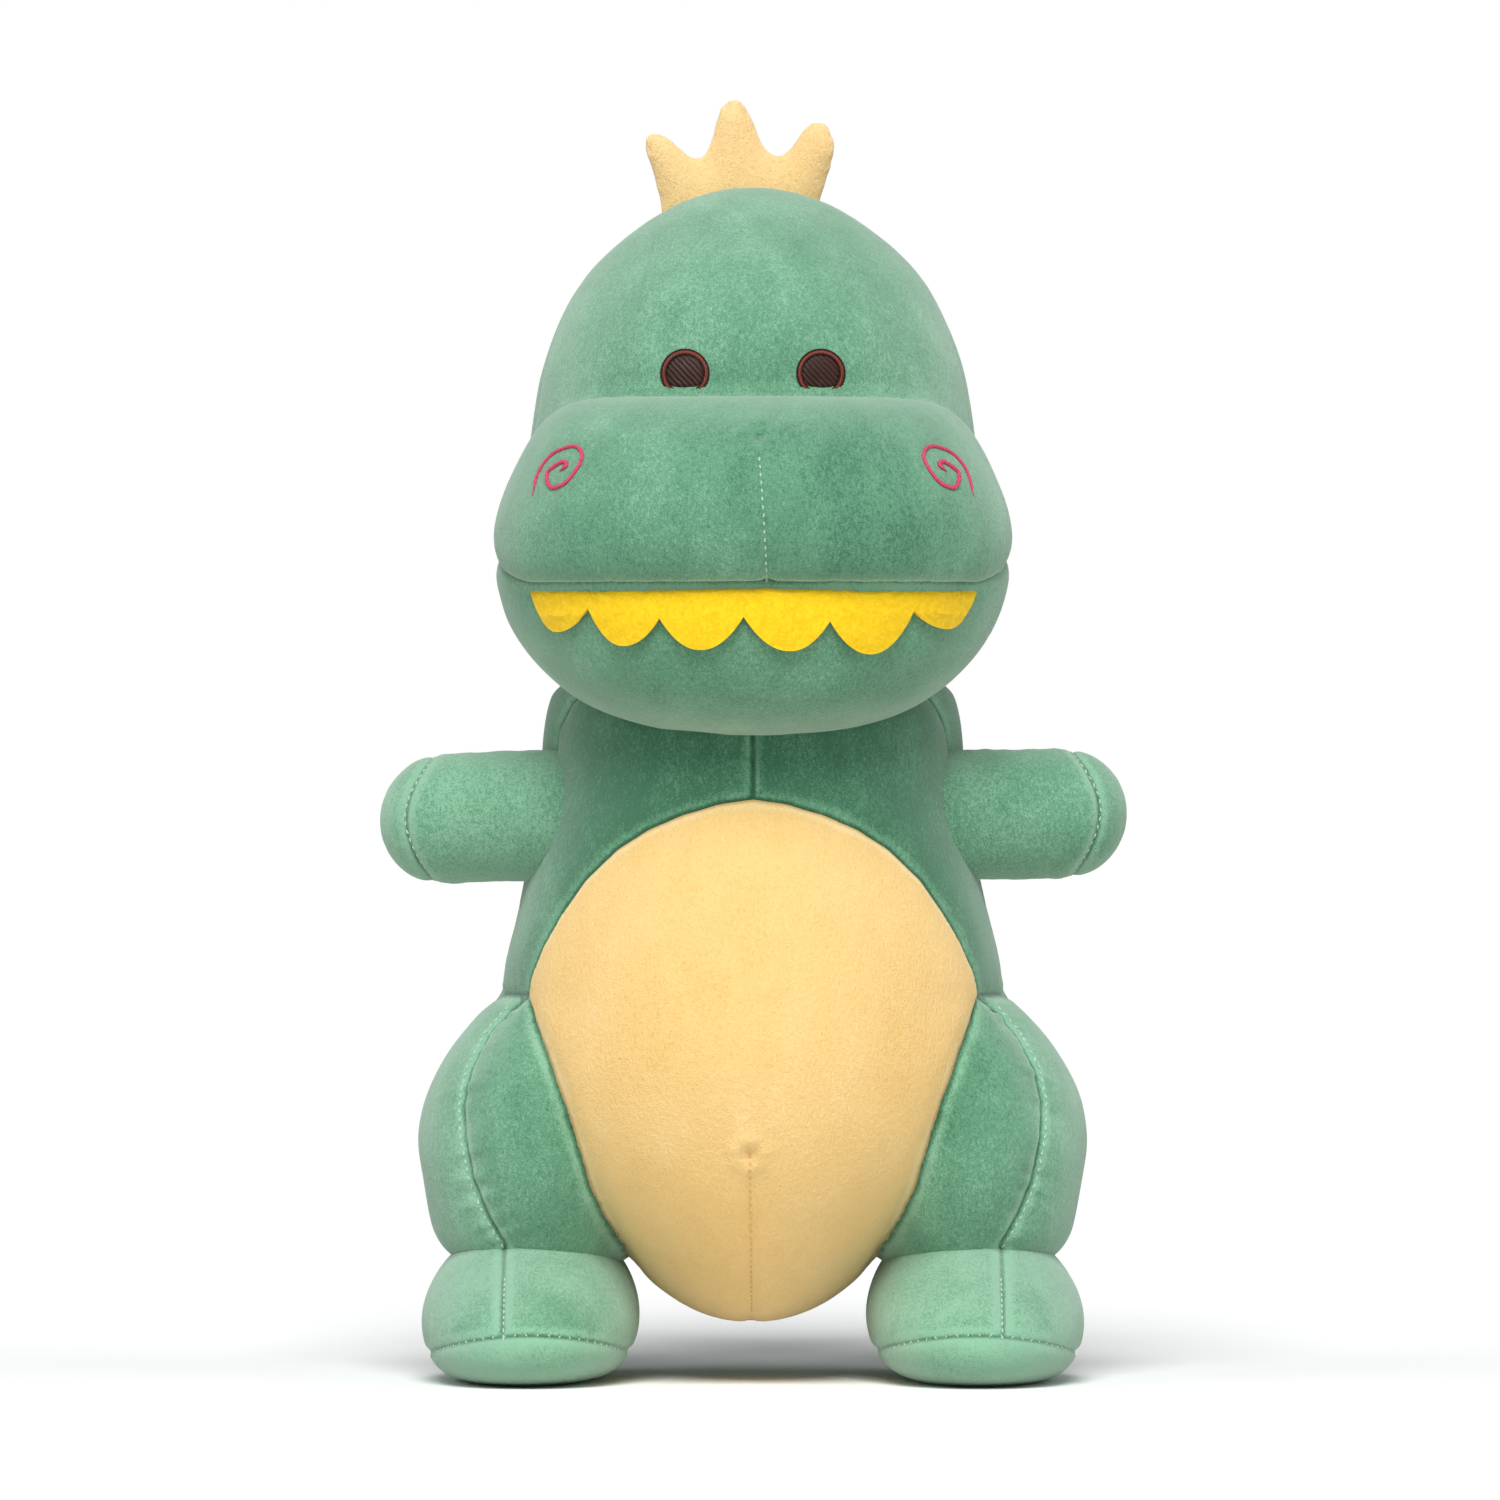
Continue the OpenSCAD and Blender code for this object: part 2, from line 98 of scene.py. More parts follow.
FOOT = [
    (0.0000, 0.0790, 0.0210, -0.0820, 0.0040),
    (0.0020, 0.0790, 0.0275, -0.0950, 0.0110),
    (0.0060, 0.0785, 0.0335, -0.1040, 0.0160),
    (0.0120, 0.0780, 0.0375, -0.1080, 0.0195),
    (0.0200, 0.0775, 0.0390, -0.1060, 0.0210),
    (0.0270, 0.0775, 0.0385, -0.0990, 0.0205),
    (0.0350, 0.0768, 0.0355, -0.0890, 0.0185),
    (0.0430, 0.0760, 0.0305, -0.0770, 0.0150),
    (0.0500, 0.0750, 0.0225, -0.0650, 0.0060),
    (0.0540, 0.0745, 0.0100, -0.0500, -0.0080),
]
SKULL = [
    (0.2370, 0.0, 0.0600, -0.0720, 0.0480),
    (0.2430, 0.0, 0.0700, -0.0850, 0.0610),
    (0.2520, 0.0, 0.0735, -0.0900, 0.0680),
    (0.2700, 0.0, 0.0775, -0.0950, 0.0740),
    (0.3000, 0.0, 0.0810, -0.0970, 0.0780),
    (0.3300, 0.0, 0.0780, -0.0930, 0.0760),
    (0.3440, 0.0, 0.0764, -0.0910, 0.0730),
    (0.3540, 0.0, 0.0745, -0.0910, 0.0690),
    (0.3700, 0.0, 0.0690, -0.0865, 0.0600),
    (0.3850, 0.0, 0.0610, -0.0760, 0.0470),
    (0.3980, 0.0, 0.0480, -0.0630, 0.0320),
    (0.4080, 0.0, 0.0340, -0.0500, 0.0170),
    (0.4140, 0.0, 0.0200, -0.0370, 0.0020),
    (0.4170, 0.0, 0.0050, -0.0230, -0.0120),
]
MUZZLE = [
    (0.2690, 0.0, 0.0760, -0.1180, 0.0000),
    (0.2755, 0.0, 0.0885, -0.1350, 0.0000),
    (0.2850, 0.0, 0.0915, -0.1420, 0.0000),
    (0.3000, 0.0, 0.0905, -0.1440, 0.0000),
    (0.3130, 0.0, 0.0855, -0.1425, 0.0000),
    (0.3230, 0.0, 0.0805, -0.1380, -0.0050),
    (0.3320, 0.0, 0.0755, -0.1310, -0.0120),
    (0.3385, 0.0, 0.0695, -0.1215, -0.0200),
    (0.3420, 0.0, 0.0600, -0.1080, -0.0300),
]
JAW = [
    (0.2280, 0.0, 0.0120, -0.0940, -0.0640),
    (0.2310, 0.0, 0.0400, -0.1090, -0.0400),
    (0.2370, 0.0, 0.0590, -0.1180, -0.0200),
    (0.2470, 0.0, 0.0725, -0.1250, 0.0000),
    (0.2590, 0.0, 0.0820, -0.1290, 0.0100),
    (0.2710, 0.0, 0.0880, -0.1290, 0.0100),
    (0.2870, 0.0, 0.0890, -0.1230, 0.0100),
]

# %% [markdown]
# Seams are outlines of the panels, drawn as seen from the front (x, height) or from the
# side (y, height).

# %% The outlines of the panels
BELLY = [
    (0.000, 0.2035), (0.012, 0.2020), (0.024, 0.1985), (0.037, 0.1930), (0.048, 0.1860), (0.059, 0.1755),
    (0.067, 0.1640), (0.073, 0.1535), (0.077, 0.1440), (0.0795, 0.1350), (0.0770, 0.1265),
    (0.0725, 0.1160), (0.0665, 0.1000), (0.0610, 0.0830), (0.0565, 0.0680), (0.0510, 0.0560),
    (0.0450, 0.0460), (0.0420, 0.0360), (0.0420, 0.0250), (0.0400, 0.0100), (0.000, 0.0050),
]
THIGH_SEAM = [
    (0.0795, 0.135), (0.086, 0.130), (0.093, 0.122), (0.0995, 0.110), (0.102, 0.098), (0.1015, 0.086),
    (0.0985, 0.071), (0.093, 0.058), (0.087, 0.048), (0.085, 0.030),
]
BODY_SIDE = [(-0.055, 0.250), (-0.036, 0.226), (-0.026, 0.180), (-0.016, 0.130), (-0.014, 0.000)]
MOUTH_SEAM = [
    (-0.200, 0.2755), (-0.103, 0.2755), (-0.088, 0.2800), (-0.074, 0.2860), (-0.050, 0.2920),
    (0.050, 0.2950),
]
CREST = [
    (-0.0310, 0.3950), (-0.0325, 0.4080), (-0.0350, 0.4200), (-0.0385, 0.4310), (-0.0375, 0.4365),
    (-0.0335, 0.4375), (-0.0285, 0.4350), (-0.0240, 0.4305), (-0.0200, 0.4285), (-0.0170, 0.4300),
    (-0.0145, 0.4370), (-0.0125, 0.4450), (-0.0080, 0.4495), (-0.0035, 0.4485), (-0.0005, 0.4440),
    (0.0020, 0.4380), (0.0050, 0.4315), (0.0095, 0.4295), (0.0135, 0.4325), (0.0170, 0.4380),
    (0.0210, 0.4415), (0.0260, 0.4405), (0.0290, 0.4350), (0.0290, 0.4280), (0.0260, 0.4180),
    (0.0230, 0.4080), (0.0210, 0.3950),
]
CREST_Y = 0.004          # the middle of the crest's thickness
CREST_HALF = 0.0042      # half its thickness before it is blown up
ARM_R = 0.0233
ARM_L = 0.0357
SHOULDER = Vector((0.072, -0.032, 0.1985))
TAIL_ROOT = Vector((0.0, 0.046, 0.072))
TAIL_TIP = Vector((0.0, 0.134, 0.052))
TAIL_R = (0.030, 0.010)
EYE = (0.0235, 0.3505)
NOSTRIL = (0.0660, 0.3165)
SIDES = (("left", 1), ("right", -1))

# %% [markdown]
# ## Tools for the workbench
# First the loft, which turns stations into a closed mesh, and the remesh, which joins lofts
# into one skin of even squares.


# %% Lofts and skins
def smooth_stations(stations, step=0.003):
    """The stations, with rings added between them on a smooth curve."""
    s = np.array(stations)
    slope = np.gradient(s, axis=0)
    rows = []
    for i in range(len(s) - 1):
        n = max(1, int(np.ceil(np.abs(s[i + 1] - s[i]).max() / step)))
        for k in range(n):
            t = k / n
            h00, h10 = 2 * t**3 - 3 * t**2 + 1, t**3 - 2 * t**2 + t
            h01, h11 = 3 * t**2 - 2 * t**3, t**3 - t**2
            rows.append(h00 * s[i] + h10 * slope[i] + h01 * s[i + 1] + h11 * slope[i + 1])
    rows.append(s[-1])
    return rows


def loft(stations, power=2.0, side=1, inset=0.0, around=96):
    """Points and faces of a closed stack of rounded rings; a power over 2 makes it squarer."""
    points, faces = [], []
    rows = smooth_stations(stations)
    angle = np.arange(around) * 2 * math.pi / around
    cos, sin = np.cos(angle), np.sin(angle)
    cos = np.sign(cos) * np.abs(cos) ** (2 / power)
    sin = np.sign(sin) * np.abs(sin) ** (2 / power)
    for z, x, half, front, back in rows:
        half, deep = max(half - inset, MM), max((back - front) / 2 - inset, MM)
        ring = np.stack([side * (x + half * cos), (front + back) / 2 + deep * sin, 0 * cos + z], 1)
        points.extend(ring.tolist())
    n = len(rows)
    for r in range(n - 1):
        for k in range(around):
            a, b = r * around + k, r * around + (k + 1) % around
            faces.append((a, b, b + around, a + around)[::side])
    faces.append(tuple(range(around))[:: -side])
    faces.append(tuple(range((n - 1) * around, n * around))[::side])
    return points, faces


def tube(path, radii, around=48):
    """A closed round body along a path, which ends in round caps."""
    path = [Vector(p) for p in path]
    axis = (path[-1] - path[0]).normalized()
    across = axis.cross(Vector((0, 0, 1))).normalized()
    up = across.cross(axis)
    length = [(p - path[0]).length for p in path]
    rings = []
    for t in np.linspace(-math.pi / 2, -0.12, 9):
        rings.append((path[0] + axis * radii[0] * math.sin(t), radii[0] * math.cos(t)))
    for d in np.arange(0, length[-1], 0.004):
        at = path[0] + axis * d
        rings.append((at, float(np.interp(d, length, radii))))
    for t in np.linspace(0, math.pi / 2, 9):
        rings.append((path[-1] + axis * radii[-1] * math.sin(t), radii[-1] * math.cos(t)))
    points, faces = [], []
    for centre, r in rings:
        for k in range(around):
            a = 2 * math.pi * k / around
            points.append(centre + (across * math.cos(a) + up * math.sin(a)) * max(r, 0.0004))
    for i in range(len(rings) - 1):
        for k in range(around):
            a, b = i * around + k, i * around + (k + 1) % around
            faces.append((a, b, b + around, a + around))
    faces.append(tuple(range(around))[::-1])
    last = (len(rings) - 1) * around
    faces.append(tuple(range(last, last + around)))
    return points, faces


def linked(name, data):
    """A new object in the scene."""
    obj = bpy.data.objects.new(name, data)
    bpy.context.scene.collection.objects.link(obj)
    return obj


def outward(mesh):
    work = bmesh.new()
    work.from_mesh(mesh)
    bmesh.ops.recalc_face_normals(work, faces=work.faces)
    work.to_mesh(mesh)
    work.free()


def new_object(name, parts):
    """One object from one or more (points, faces) lists."""
    points, faces = [], []
    for p, f in parts:
        base = len(points)
        points.extend([tuple(v) for v in p])
        faces.extend([tuple(i + base for i in face) for face in f])
    mesh = bpy.data.meshes.new(name)
    mesh.from_pydata(points, [], faces)
    outward(mesh)
    return linked(name, mesh)


def settled(obj):
    """obj with its modifiers applied."""
    view = bpy.context.evaluated_depsgraph_get()
    mesh = bpy.data.meshes.new_from_object(obj.evaluated_get(view), depsgraph=view)
    old = obj.data
    obj.modifiers.clear()
    obj.data = mesh
    bpy.data.meshes.remove(old)
    mesh.name = obj.name
    return obj


def skin(name, parts, voxel):
    """The lofts joined into one closed skin of even squares."""
    obj = new_object(name, parts)
    remesh = obj.modifiers.new("Remesh", "REMESH")
    remesh.mode = "VOXEL"
    remesh.voxel_size = voxel
    return settled(obj)


def points_of(mesh):
    co = np.empty(len(mesh.vertices) * 3, np.float64)
    mesh.vertices.foreach_get("co", co)
    return co.reshape(-1, 3)


def set_points(mesh, co):
    mesh.vertices.foreach_set("co", np.asarray(co, np.float32).ravel())
    mesh.update()


def edges_of(mesh):
    e = np.empty(len(mesh.edges) * 2, np.int64)
    mesh.edges.foreach_get("vertices", e)
    return e.reshape(-1, 2)


def relaxed(co, edges, rounds, share=0.5, keep=None):
    """Every point moves towards the middle of its neighbours, and back a little less."""
    count = np.bincount(edges.ravel(), minlength=len(co))[:, None]
    for i in range(2 * rounds):
        total = np.zeros_like(co)
        np.add.at(total, edges[:, 0], co[edges[:, 1]])
        np.add.at(total, edges[:, 1], co[edges[:, 0]])
        step = (total / np.maximum(count, 1) - co) * (share if i % 2 == 0 else -share * 0.9)
        co = co + (step if keep is None else step * (1 - keep)[:, None])
    return co


def evened(obj, rounds):
    """obj's points after relaxing, which it keeps."""
    co = relaxed(points_of(obj.data), edges_of(obj.data), rounds)
    set_points(obj.data, co)
    return co


# %% [markdown]
# Next the cloth. Stuffing presses the cover outwards and the seams hold it in, so the cover
# swells between its seams. Its seams are pinned, and no point may move further than the cap.


# %% Blowing up a cover
CLOTH_MASS = 0.002       # kg a point, light enough for the pressure to move it
CLOTH_STRETCH = 1.0      # plush knit gives easily


def blown_up(obj, held, pressure, cap, frames=12):
    """obj swollen by pressure, where held is 1 on the seams and 0 away from them."""
    rest = points_of(obj.data)
    group = obj.vertex_groups.new(name="held")
    for weight in (0.5, 1.0):
        close = np.nonzero((held > weight - 0.25) & (held <= weight + 0.25))[0]
        group.add(close.tolist(), weight, "REPLACE")
    cloth = obj.modifiers.new("Cloth", "CLOTH")
    cloth.settings.vertex_group_mass = "held"
    cloth.settings.use_pressure = True
    cloth.settings.uniform_pressure_force = pressure
    cloth.settings.effector_weights.gravity = 0
    cloth.settings.mass = CLOTH_MASS
    cloth.settings.tension_stiffness = cloth.settings.compression_stiffness = CLOTH_STRETCH
    cloth.settings.shear_stiffness = CLOTH_STRETCH
    cloth.settings.bending_stiffness = 0.01
    cloth.point_cache.frame_start = 1
    cloth.point_cache.frame_end = frames
    for f in range(1, frames + 1):
        bpy.context.scene.frame_set(f)
    settled(obj)
    bpy.context.scene.frame_set(1)
    obj.vertex_groups.clear()
    move = points_of(obj.data) - rest
    far = np.linalg.norm(move, axis=1, keepdims=True)
    move *= np.minimum(1, cap / np.maximum(far, 1e-9))
    set_points(obj.data, rest + move)
    print(f"{obj.name}: {len(rest)} points blown up, {far.mean() * 1000:.1f} mm on average")
    return obj


def subdivided(obj, levels=1):
    soft = obj.modifiers.new("Subdivision", "SUBSURF")
    soft.levels = soft.render_levels = levels
    return settled(obj)


# %% [markdown]
# Then the seams. A seam is where a field changes sign on the cover: the field is the signed
# distance to the seam's outline. The cover's triangles are cut exactly along it.


# %% Fields and cuts
def to_line(p, q, line):
    """The distance of the points (p, q) from an open line."""
    best = np.full(len(p), 1e9)
    for (a, b), (c, d) in zip(line[:-1], line[1:]):
        ux, uy = c - a, d - b
        t = np.clip(((p - a) * ux + (q - b) * uy) / (ux * ux + uy * uy), 0, 1)
        best = np.minimum(best, np.hypot(p - a - t * ux, q - b - t * uy))
    return best


def in_outline(p, q, outline):
    inside = np.zeros(len(p), bool)
    for (a, b), (c, d) in zip(outline, outline[1:] + outline[:1]):
        crosses = (b > q) != (d > q)
        x = a + (q - b) * (c - a) / ((d - b) if d != b else 1e-12)
        inside ^= crosses & (p < x)
    return inside


def from_outline(p, q, outline):
    """Signed distance to a closed outline, negative inside it."""
    far = to_line(p, q, outline + outline[:1])
    return np.where(in_outline(p, q, outline), -far, far)


def sides_of(tri):
    """The three sides of every triangle, each as a pair of points."""
    return np.vstack([tri[:, [0, 1]], tri[:, [1, 2]], tri[:, [2, 0]]])


def cut(co, tri, field, where=None):
    """The triangles, split along field == 0 where both ends of an edge are in the region."""
    f = field(co)
    edges = np.unique(np.sort(sides_of(tri), axis=1), axis=0)
    a, b = edges[:, 0], edges[:, 1]
    open_here = np.ones(len(edges), bool) if where is None else where(co)[a] & where(co)[b]
    crossed = (f[a] * f[b] < 0) & open_here
    t = np.where(crossed, f[a] / np.where(crossed, f[a] - f[b], 1), 0)
    co = co.copy()
    for ends, other, close in ((a, b, crossed & (t < 0.3)), (b, a, crossed & (t > 0.7))):
        share = np.where(close, t if ends is a else 1 - t, 0)[close]
        start = ends[close]
        order = np.argsort(-share)
        start, share, aim = start[order], share[order], other[close][order]
        fresh = f[start] != 0
        start, share, aim = start[fresh], share[fresh], aim[fresh]
        moved = co[start] + (co[aim] - co[start]) * share[:, None]
        co[start] = moved
        f[start] = 0
    crossed = (f[a] * f[b] < 0) & open_here
    a, b = a[crossed], b[crossed]
    t = (f[a] / (f[a] - f[b]))[:, None]
    middle = {(int(i), int(j)): len(co) + k for k, (i, j) in enumerate(zip(a, b))}
    co = np.vstack([co, co[a] + (co[b] - co[a]) * t])
    f = np.concatenate([f, np.zeros(len(a))])

    def between(i, j):
        return middle.get((i, j) if i < j else (j, i))

    marked = np.zeros(len(co), bool)
    marked[np.concatenate([a, b])] = True
    touched = marked[tri].sum(1) >= 2
    out = [tri[~touched]]
    extra = []
    for i, j, k in tri[touched].tolist():
        turns = ((i, j, k), (j, k, i), (k, i, j))
        ways = [between(*turn[:2]) for turn in turns]
        found = sum(w is not None for w in ways)
        if found == 0:
            extra.append((i, j, k))
        elif found == 1:
            (p, q, r), m = next((turn, w) for turn, w in zip(turns, ways) if w is not None)
            extra += [(p, m, r), (m, q, r)]
        else:
            at = next(n for n in range(3) if ways[n] is None)
            p, q, r = turns[at]
            to_r, from_r = ways[(at + 1) % 3], ways[(at + 2) % 3]
            extra += [(r, from_r, to_r), (p, q, to_r), (p, to_r, from_r)]
    out.append(np.array(extra, np.int64).reshape(-1, 3))
    return co, np.vstack(out)


def stored(mesh, name, domain, values):
    """Keep a number for every point or face of a mesh."""
    kept = mesh.attributes.new(name, "FLOAT", domain)
    kept.data.foreach_set("value", np.asarray(values, np.float32))


def kept_values(mesh, name, n):
    out = np.empty(n, np.float32)
    mesh.attributes[name].data.foreach_get("value", out)
    return out


def triangles_of(mesh):
    mesh.calc_loop_triangles()
    tri = np.empty(len(mesh.loop_triangles) * 3, np.int64)
    mesh.loop_triangles.foreach_get("vertices", tri)
    return tri.reshape(-1, 3)


def normals_of(co, tri):
    n = np.cross(co[tri[:, 1]] - co[tri[:, 0]], co[tri[:, 2]] - co[tri[:, 0]])
    out = np.zeros_like(co)
    for k in range(3):
        np.add.at(out, tri[:, k], n)
    return out / np.maximum(np.linalg.norm(out, axis=1, keepdims=True), 1e-12)


# %% [markdown]
# A sewn seam lies in a narrow groove with a broad hollow round it, and the cloth gathers
# into small folds that run across it. The folds come from a noise that is read at the
# nearest point of the seam, so each fold keeps its height as it runs away from the seam.


# %% Sewing a cover
def wavy(points, size, seed):
    """A soft noise from -1 to 1 at each point, with waves about size long."""
    shift = Vector((seed * 3.7, seed * 1.9, seed * 7.3))
    return np.array([noise.noise(Vector(p) / size + shift) for p in points])


def nearest(points, samples, limit):
    """The distance of each point to the closest sample, and which sample it is."""
    tree = KDTree(len(samples))
    for i, s in enumerate(samples):
        tree.insert(s, i)
    tree.balance()
    far = np.full(len(points), limit)
    which = np.zeros(len(points), np.int64)
    low, high = samples.min(0) - limit, samples.max(0) + limit
    close = np.nonzero(((points > low) & (points < high)).all(1))[0]
    for i in close:
        _, index, d = tree.find(points[i])
        if d < limit:
            far[i], which[i] = d, index
    return far, which


class Seam:
    """How deep a seam lies, how wide its hollow is, and how much the cloth gathers at it."""

    def __init__(self, depth=1.3, hollow=0.9, width=7.0, gather=0.45, fold=6.0):
        self.depth, self.hollow, self.width = depth * MM, hollow * MM, width * MM
        self.gather, self.fold = gather * MM, fold * MM


def sewn(obj, cuts, panel_of, seams, seed, slack=0.5):
    """obj with its seams cut in. cuts are (field, where), panel_of numbers the panel of each
    point, and seams gives a Seam for each pair of panels, with None for any other pair."""
    co, tri = points_of(obj.data), triangles_of(obj.data)
    for field, where in cuts:
        co, tri = cut(co, tri, field, where)
    panel = panel_of(co[tri].mean(1))
    owner = np.tile(np.arange(len(tri)), 3)
    key = np.sort(sides_of(tri), axis=1)
    order = np.lexsort((key[:, 1], key[:, 0]))
    key, owner = key[order], owner[order]
    twin = (key[1:] == key[:-1]).all(1)
    first, second = owner[:-1][twin], owner[1:][twin]
    pair = key[:-1][twin]
    split = panel[first] != panel[second]
    pair, first, second = pair[split], panel[first][split], panel[second][split]
    normal = normals_of(co, tri)
    move = np.zeros(len(co))
    closest = np.full(len(co), 0.02)
    kinds = {}
    for p, q, e in zip(first.tolist(), second.tolist(), pair.tolist()):
        kinds.setdefault(seams.get(frozenset((p, q)), seams.get(None)), []).append(e)
    for kind, found in kinds.items():
        if kind is None:
            continue
        found = np.array(found)
        samples = np.vstack([co[found[:, 0]], co[found[:, 1]], co[found].mean(1)])
        far, which = nearest(co, samples, 3 * kind.width)
        fold = wavy(samples, kind.fold, seed)[which]
        fold = fold + 0.5 * wavy(samples, kind.fold / 2.2, seed + 5)[which]
        spread = np.exp(-((far / kind.width) ** 2))
        off_line = 1 - np.exp(-((far / (1.6 * MM)) ** 2))
        here = kind.depth * np.exp(-((far / (1.5 * MM)) ** 2)) + kind.hollow * spread
        here = here - kind.gather * fold * spread * off_line
        move = np.where(np.abs(here) > np.abs(move), here, move)
        closest = np.minimum(closest, far)
    crumple = slack * MM * (wavy(co, 0.045, seed + 1) + 0.35 * wavy(co, 0.014, seed + 2))
    co = co - normal * (move - crumple * np.clip(closest / 0.012, 0, 1))[:, None]
    mesh = bpy.data.meshes.new(obj.name)
    mesh.from_pydata(co.tolist(), [], tri.tolist())
    mesh.polygons.foreach_set("use_smooth", np.ones(len(tri), bool))
    stored(mesh, "panel", "FACE", panel)
    stored(mesh, "seam", "POINT", closest)
    sharp = mesh.attributes.new("sharp_edge", "BOOLEAN", "EDGE")
    on_seam = set(map(tuple, pair.tolist()))
    flags = [tuple(sorted(e.vertices)) in on_seam for e in mesh.edges]
    sharp.data.foreach_set("value", flags)
    obj.data = mesh
    print(f"{obj.name}: {len(tri)} triangles, {len(pair)} seam edges, {time.time() - started:.0f} s")
    return obj


# %% [markdown]
# Small pieces lie on the covers, so their places are found by looking at a cover from the
# front or the side until the line of sight meets it.


# %% Finding a cover's surface
def tree_of(obj):
    return BVHTree.FromPolygons(points_of(obj.data).tolist(), triangles_of(obj.data).tolist())


def seen_from(tree, start, direction):
    hit, normal, _, _ = tree.ray_cast(Vector(start), Vector(direction))
    return hit, normal


def from_front(tree, x, z):
    return seen_from(tree, (x, -1.0, z), (0, 1, 0))


def spaced(line, step):
    """Points step apart along an open line."""
    line = [Vector(p) for p in line]
    run = np.concatenate([[0], np.cumsum([(b - a).length for a, b in zip(line[:-1], line[1:])])])
    n = max(2, int(round(run[-1] / step)) + 1)
    out = []
    for d in np.linspace(0, run[-1], n):
        i = min(int(np.searchsorted(run, d, side="right")) - 1, len(line) - 2)
        t = (d - run[i]) / max(run[i + 1] - run[i], 1e-9)
        out.append(line[i].lerp(line[i + 1], t))
    return out


def curved(points, n=8):
    """A smooth line through flat or solid points."""
    p = [Vector(q) for q in points]
    p = [2 * p[0] - p[1]] + p + [2 * p[-1] - p[-2]]
    out = []
    for i in range(1, len(p) - 2):
        for k in range(n):
            t = k / n
            out.append(
                0.5 * (2 * p[i] + (p[i + 1] - p[i - 1]) * t
                       + (2 * p[i - 1] - 5 * p[i] + 4 * p[i + 1] - p[i + 2]) * t**2
                       + (3 * p[i] - p[i - 1] - 3 * p[i + 1] + p[i + 2]) * t**3)
            )
    out.append(p[-2])
    return out


# %% [markdown]
# ## The stuffed volumes
# The body is the torso and both legs in one skin. The belly panel, the chest, the thighs,
# the hips and the back meet at seams.

# %% The body cover
BODY_VOXEL = 0.0032
CORNER = 0.135           # the height where the belly, the chest and the thighs meet
LEG_TOP = 0.138          # the thigh's seam ends under this height
LEG_IN = 0.06            # and outside this distance from the middle
CHEST, BELLY_PANEL, THIGH, HIP, BACK = 1, 0, 3, 5, 7


def belly_field(co):
    half = BELLY + [(-x, z) for x, z in BELLY[-2:0:-1]]
    return from_outline(co[:, 0], co[:, 2], half)


def side_field(co):
    """Signed distance behind the body's side seam."""
    return from_outline(co[:, 1], co[:, 2], [(0.3, 0.0)] + BODY_SIDE[::-1] + [(0.3, 0.25)]) * -1


def thigh_field(co):
    outline = [(-0.2, CORNER)] + THIGH_SEAM + [(0.085, -0.1), (-0.2, -0.1)]
    return from_outline(np.abs(co[:, 0]), co[:, 2], outline)


def before_side(co):
    return side_field(co) < 0.004


def low_on_leg(co):
    """Where the thigh's seam is cut, a little beyond where it is held."""
    return before_side(co) & (co[:, 2] < LEG_TOP + MM) & (np.abs(co[:, 0]) > LEG_IN - 10 * MM)


def body_panel(co):
    left = co[:, 0] > 0
    front = side_field(co) < 0
    leg = np.where(thigh_field(co) < 0, THIGH, HIP)
    panel = np.where(front, np.where(co[:, 2] > CORNER, CHEST, leg), BACK)
    panel = np.where(front & (belly_field(co) < 0), BELLY_PANEL, panel * 2 + left)
    return panel


def pair_seams(table):
    """Seams between numbered panels; a panel numbered n has sides 2n and 2n + 1."""
    out = {}
    for (p, q), seam in table.items():
        for a in (p,) if p == 0 else (2 * p, 2 * p + 1):
            for b in (q,) if q == 0 else (2 * q, 2 * q + 1):
                out[frozenset((a, b))] = seam
    return out


body = skin(
    "body_cover",
    [loft(TORSO, inset=1.5 * MM)] + [loft(LEG, side=s, inset=1.5 * MM) for s in (1, -1)],
    BODY_VOXEL,
)
co = evened(body, 6)
on_leg = (co[:, 2] < LEG_TOP) & (np.abs(co[:, 0]) > LEG_IN)
line = np.minimum(np.abs(belly_field(co)), np.where(on_leg, np.abs(thigh_field(co)), 1))
line = np.where(before_side(co), line, 1)
line = np.minimum(line, np.abs(side_field(co)))
held = np.where(line < BODY_VOXEL * 0.75, 1.0, 0.0)
held = np.maximum(held, (co[:, 2] > 0.236) | (co[:, 2] < 0.020))
body = subdivided(blown_up(body, held, 200, 2.5 * MM))
deep = Seam(1.6, 1.2, 8.0, 0.7, 6.5)
body = sewn(
    body,
    [
        (side_field, None),
        (belly_field, before_side),
        (thigh_field, low_on_leg),
        (lambda c: c[:, 2] - CORNER, lambda c: before_side(c) & (belly_field(c) > -0.002)),
        (lambda c: c[:, 0], lambda c: belly_field(c) > 0.0),
    ],
    body_panel,
    pair_seams({
        (0, CHEST): Seam(1.1, 0.5, 6.0, 0.25, 6.0),
        (0, THIGH): Seam(1.4, 1.0, 6.0, 0.30, 6.0),
        (CHEST, THIGH): Seam(1.5, 1.3, 7.0, 0.5, 6.5),
        (CHEST, HIP): Seam(1.5, 1.0, 7.0, 0.5, 6.5),
        (THIGH, HIP): Seam(1.6, 1.2, 9.0, 1.2, 5.0),
        (THIGH, BACK): deep,
        (HIP, BACK): Seam(1.4, 0.8, 7.0, 0.5, 7.0),
        (CHEST, BACK): Seam(1.4, 1.0, 7.0, 0.5, 7.0),
        (CHEST, CHEST): Seam(0.7, 0.4, 6.0, 0.35, 6.0),
        (BACK, BACK): Seam(1.4, 0.8, 7.0, 0.5, 7.0),
    }),
    seed=3,
)

# %% [markdown]
# The head is the skull, the muzzle and the jaw in one skin. The muzzle panel is cut wider
# than the forehead it is sewn to, so it stands forward in a fold above the cheeks.

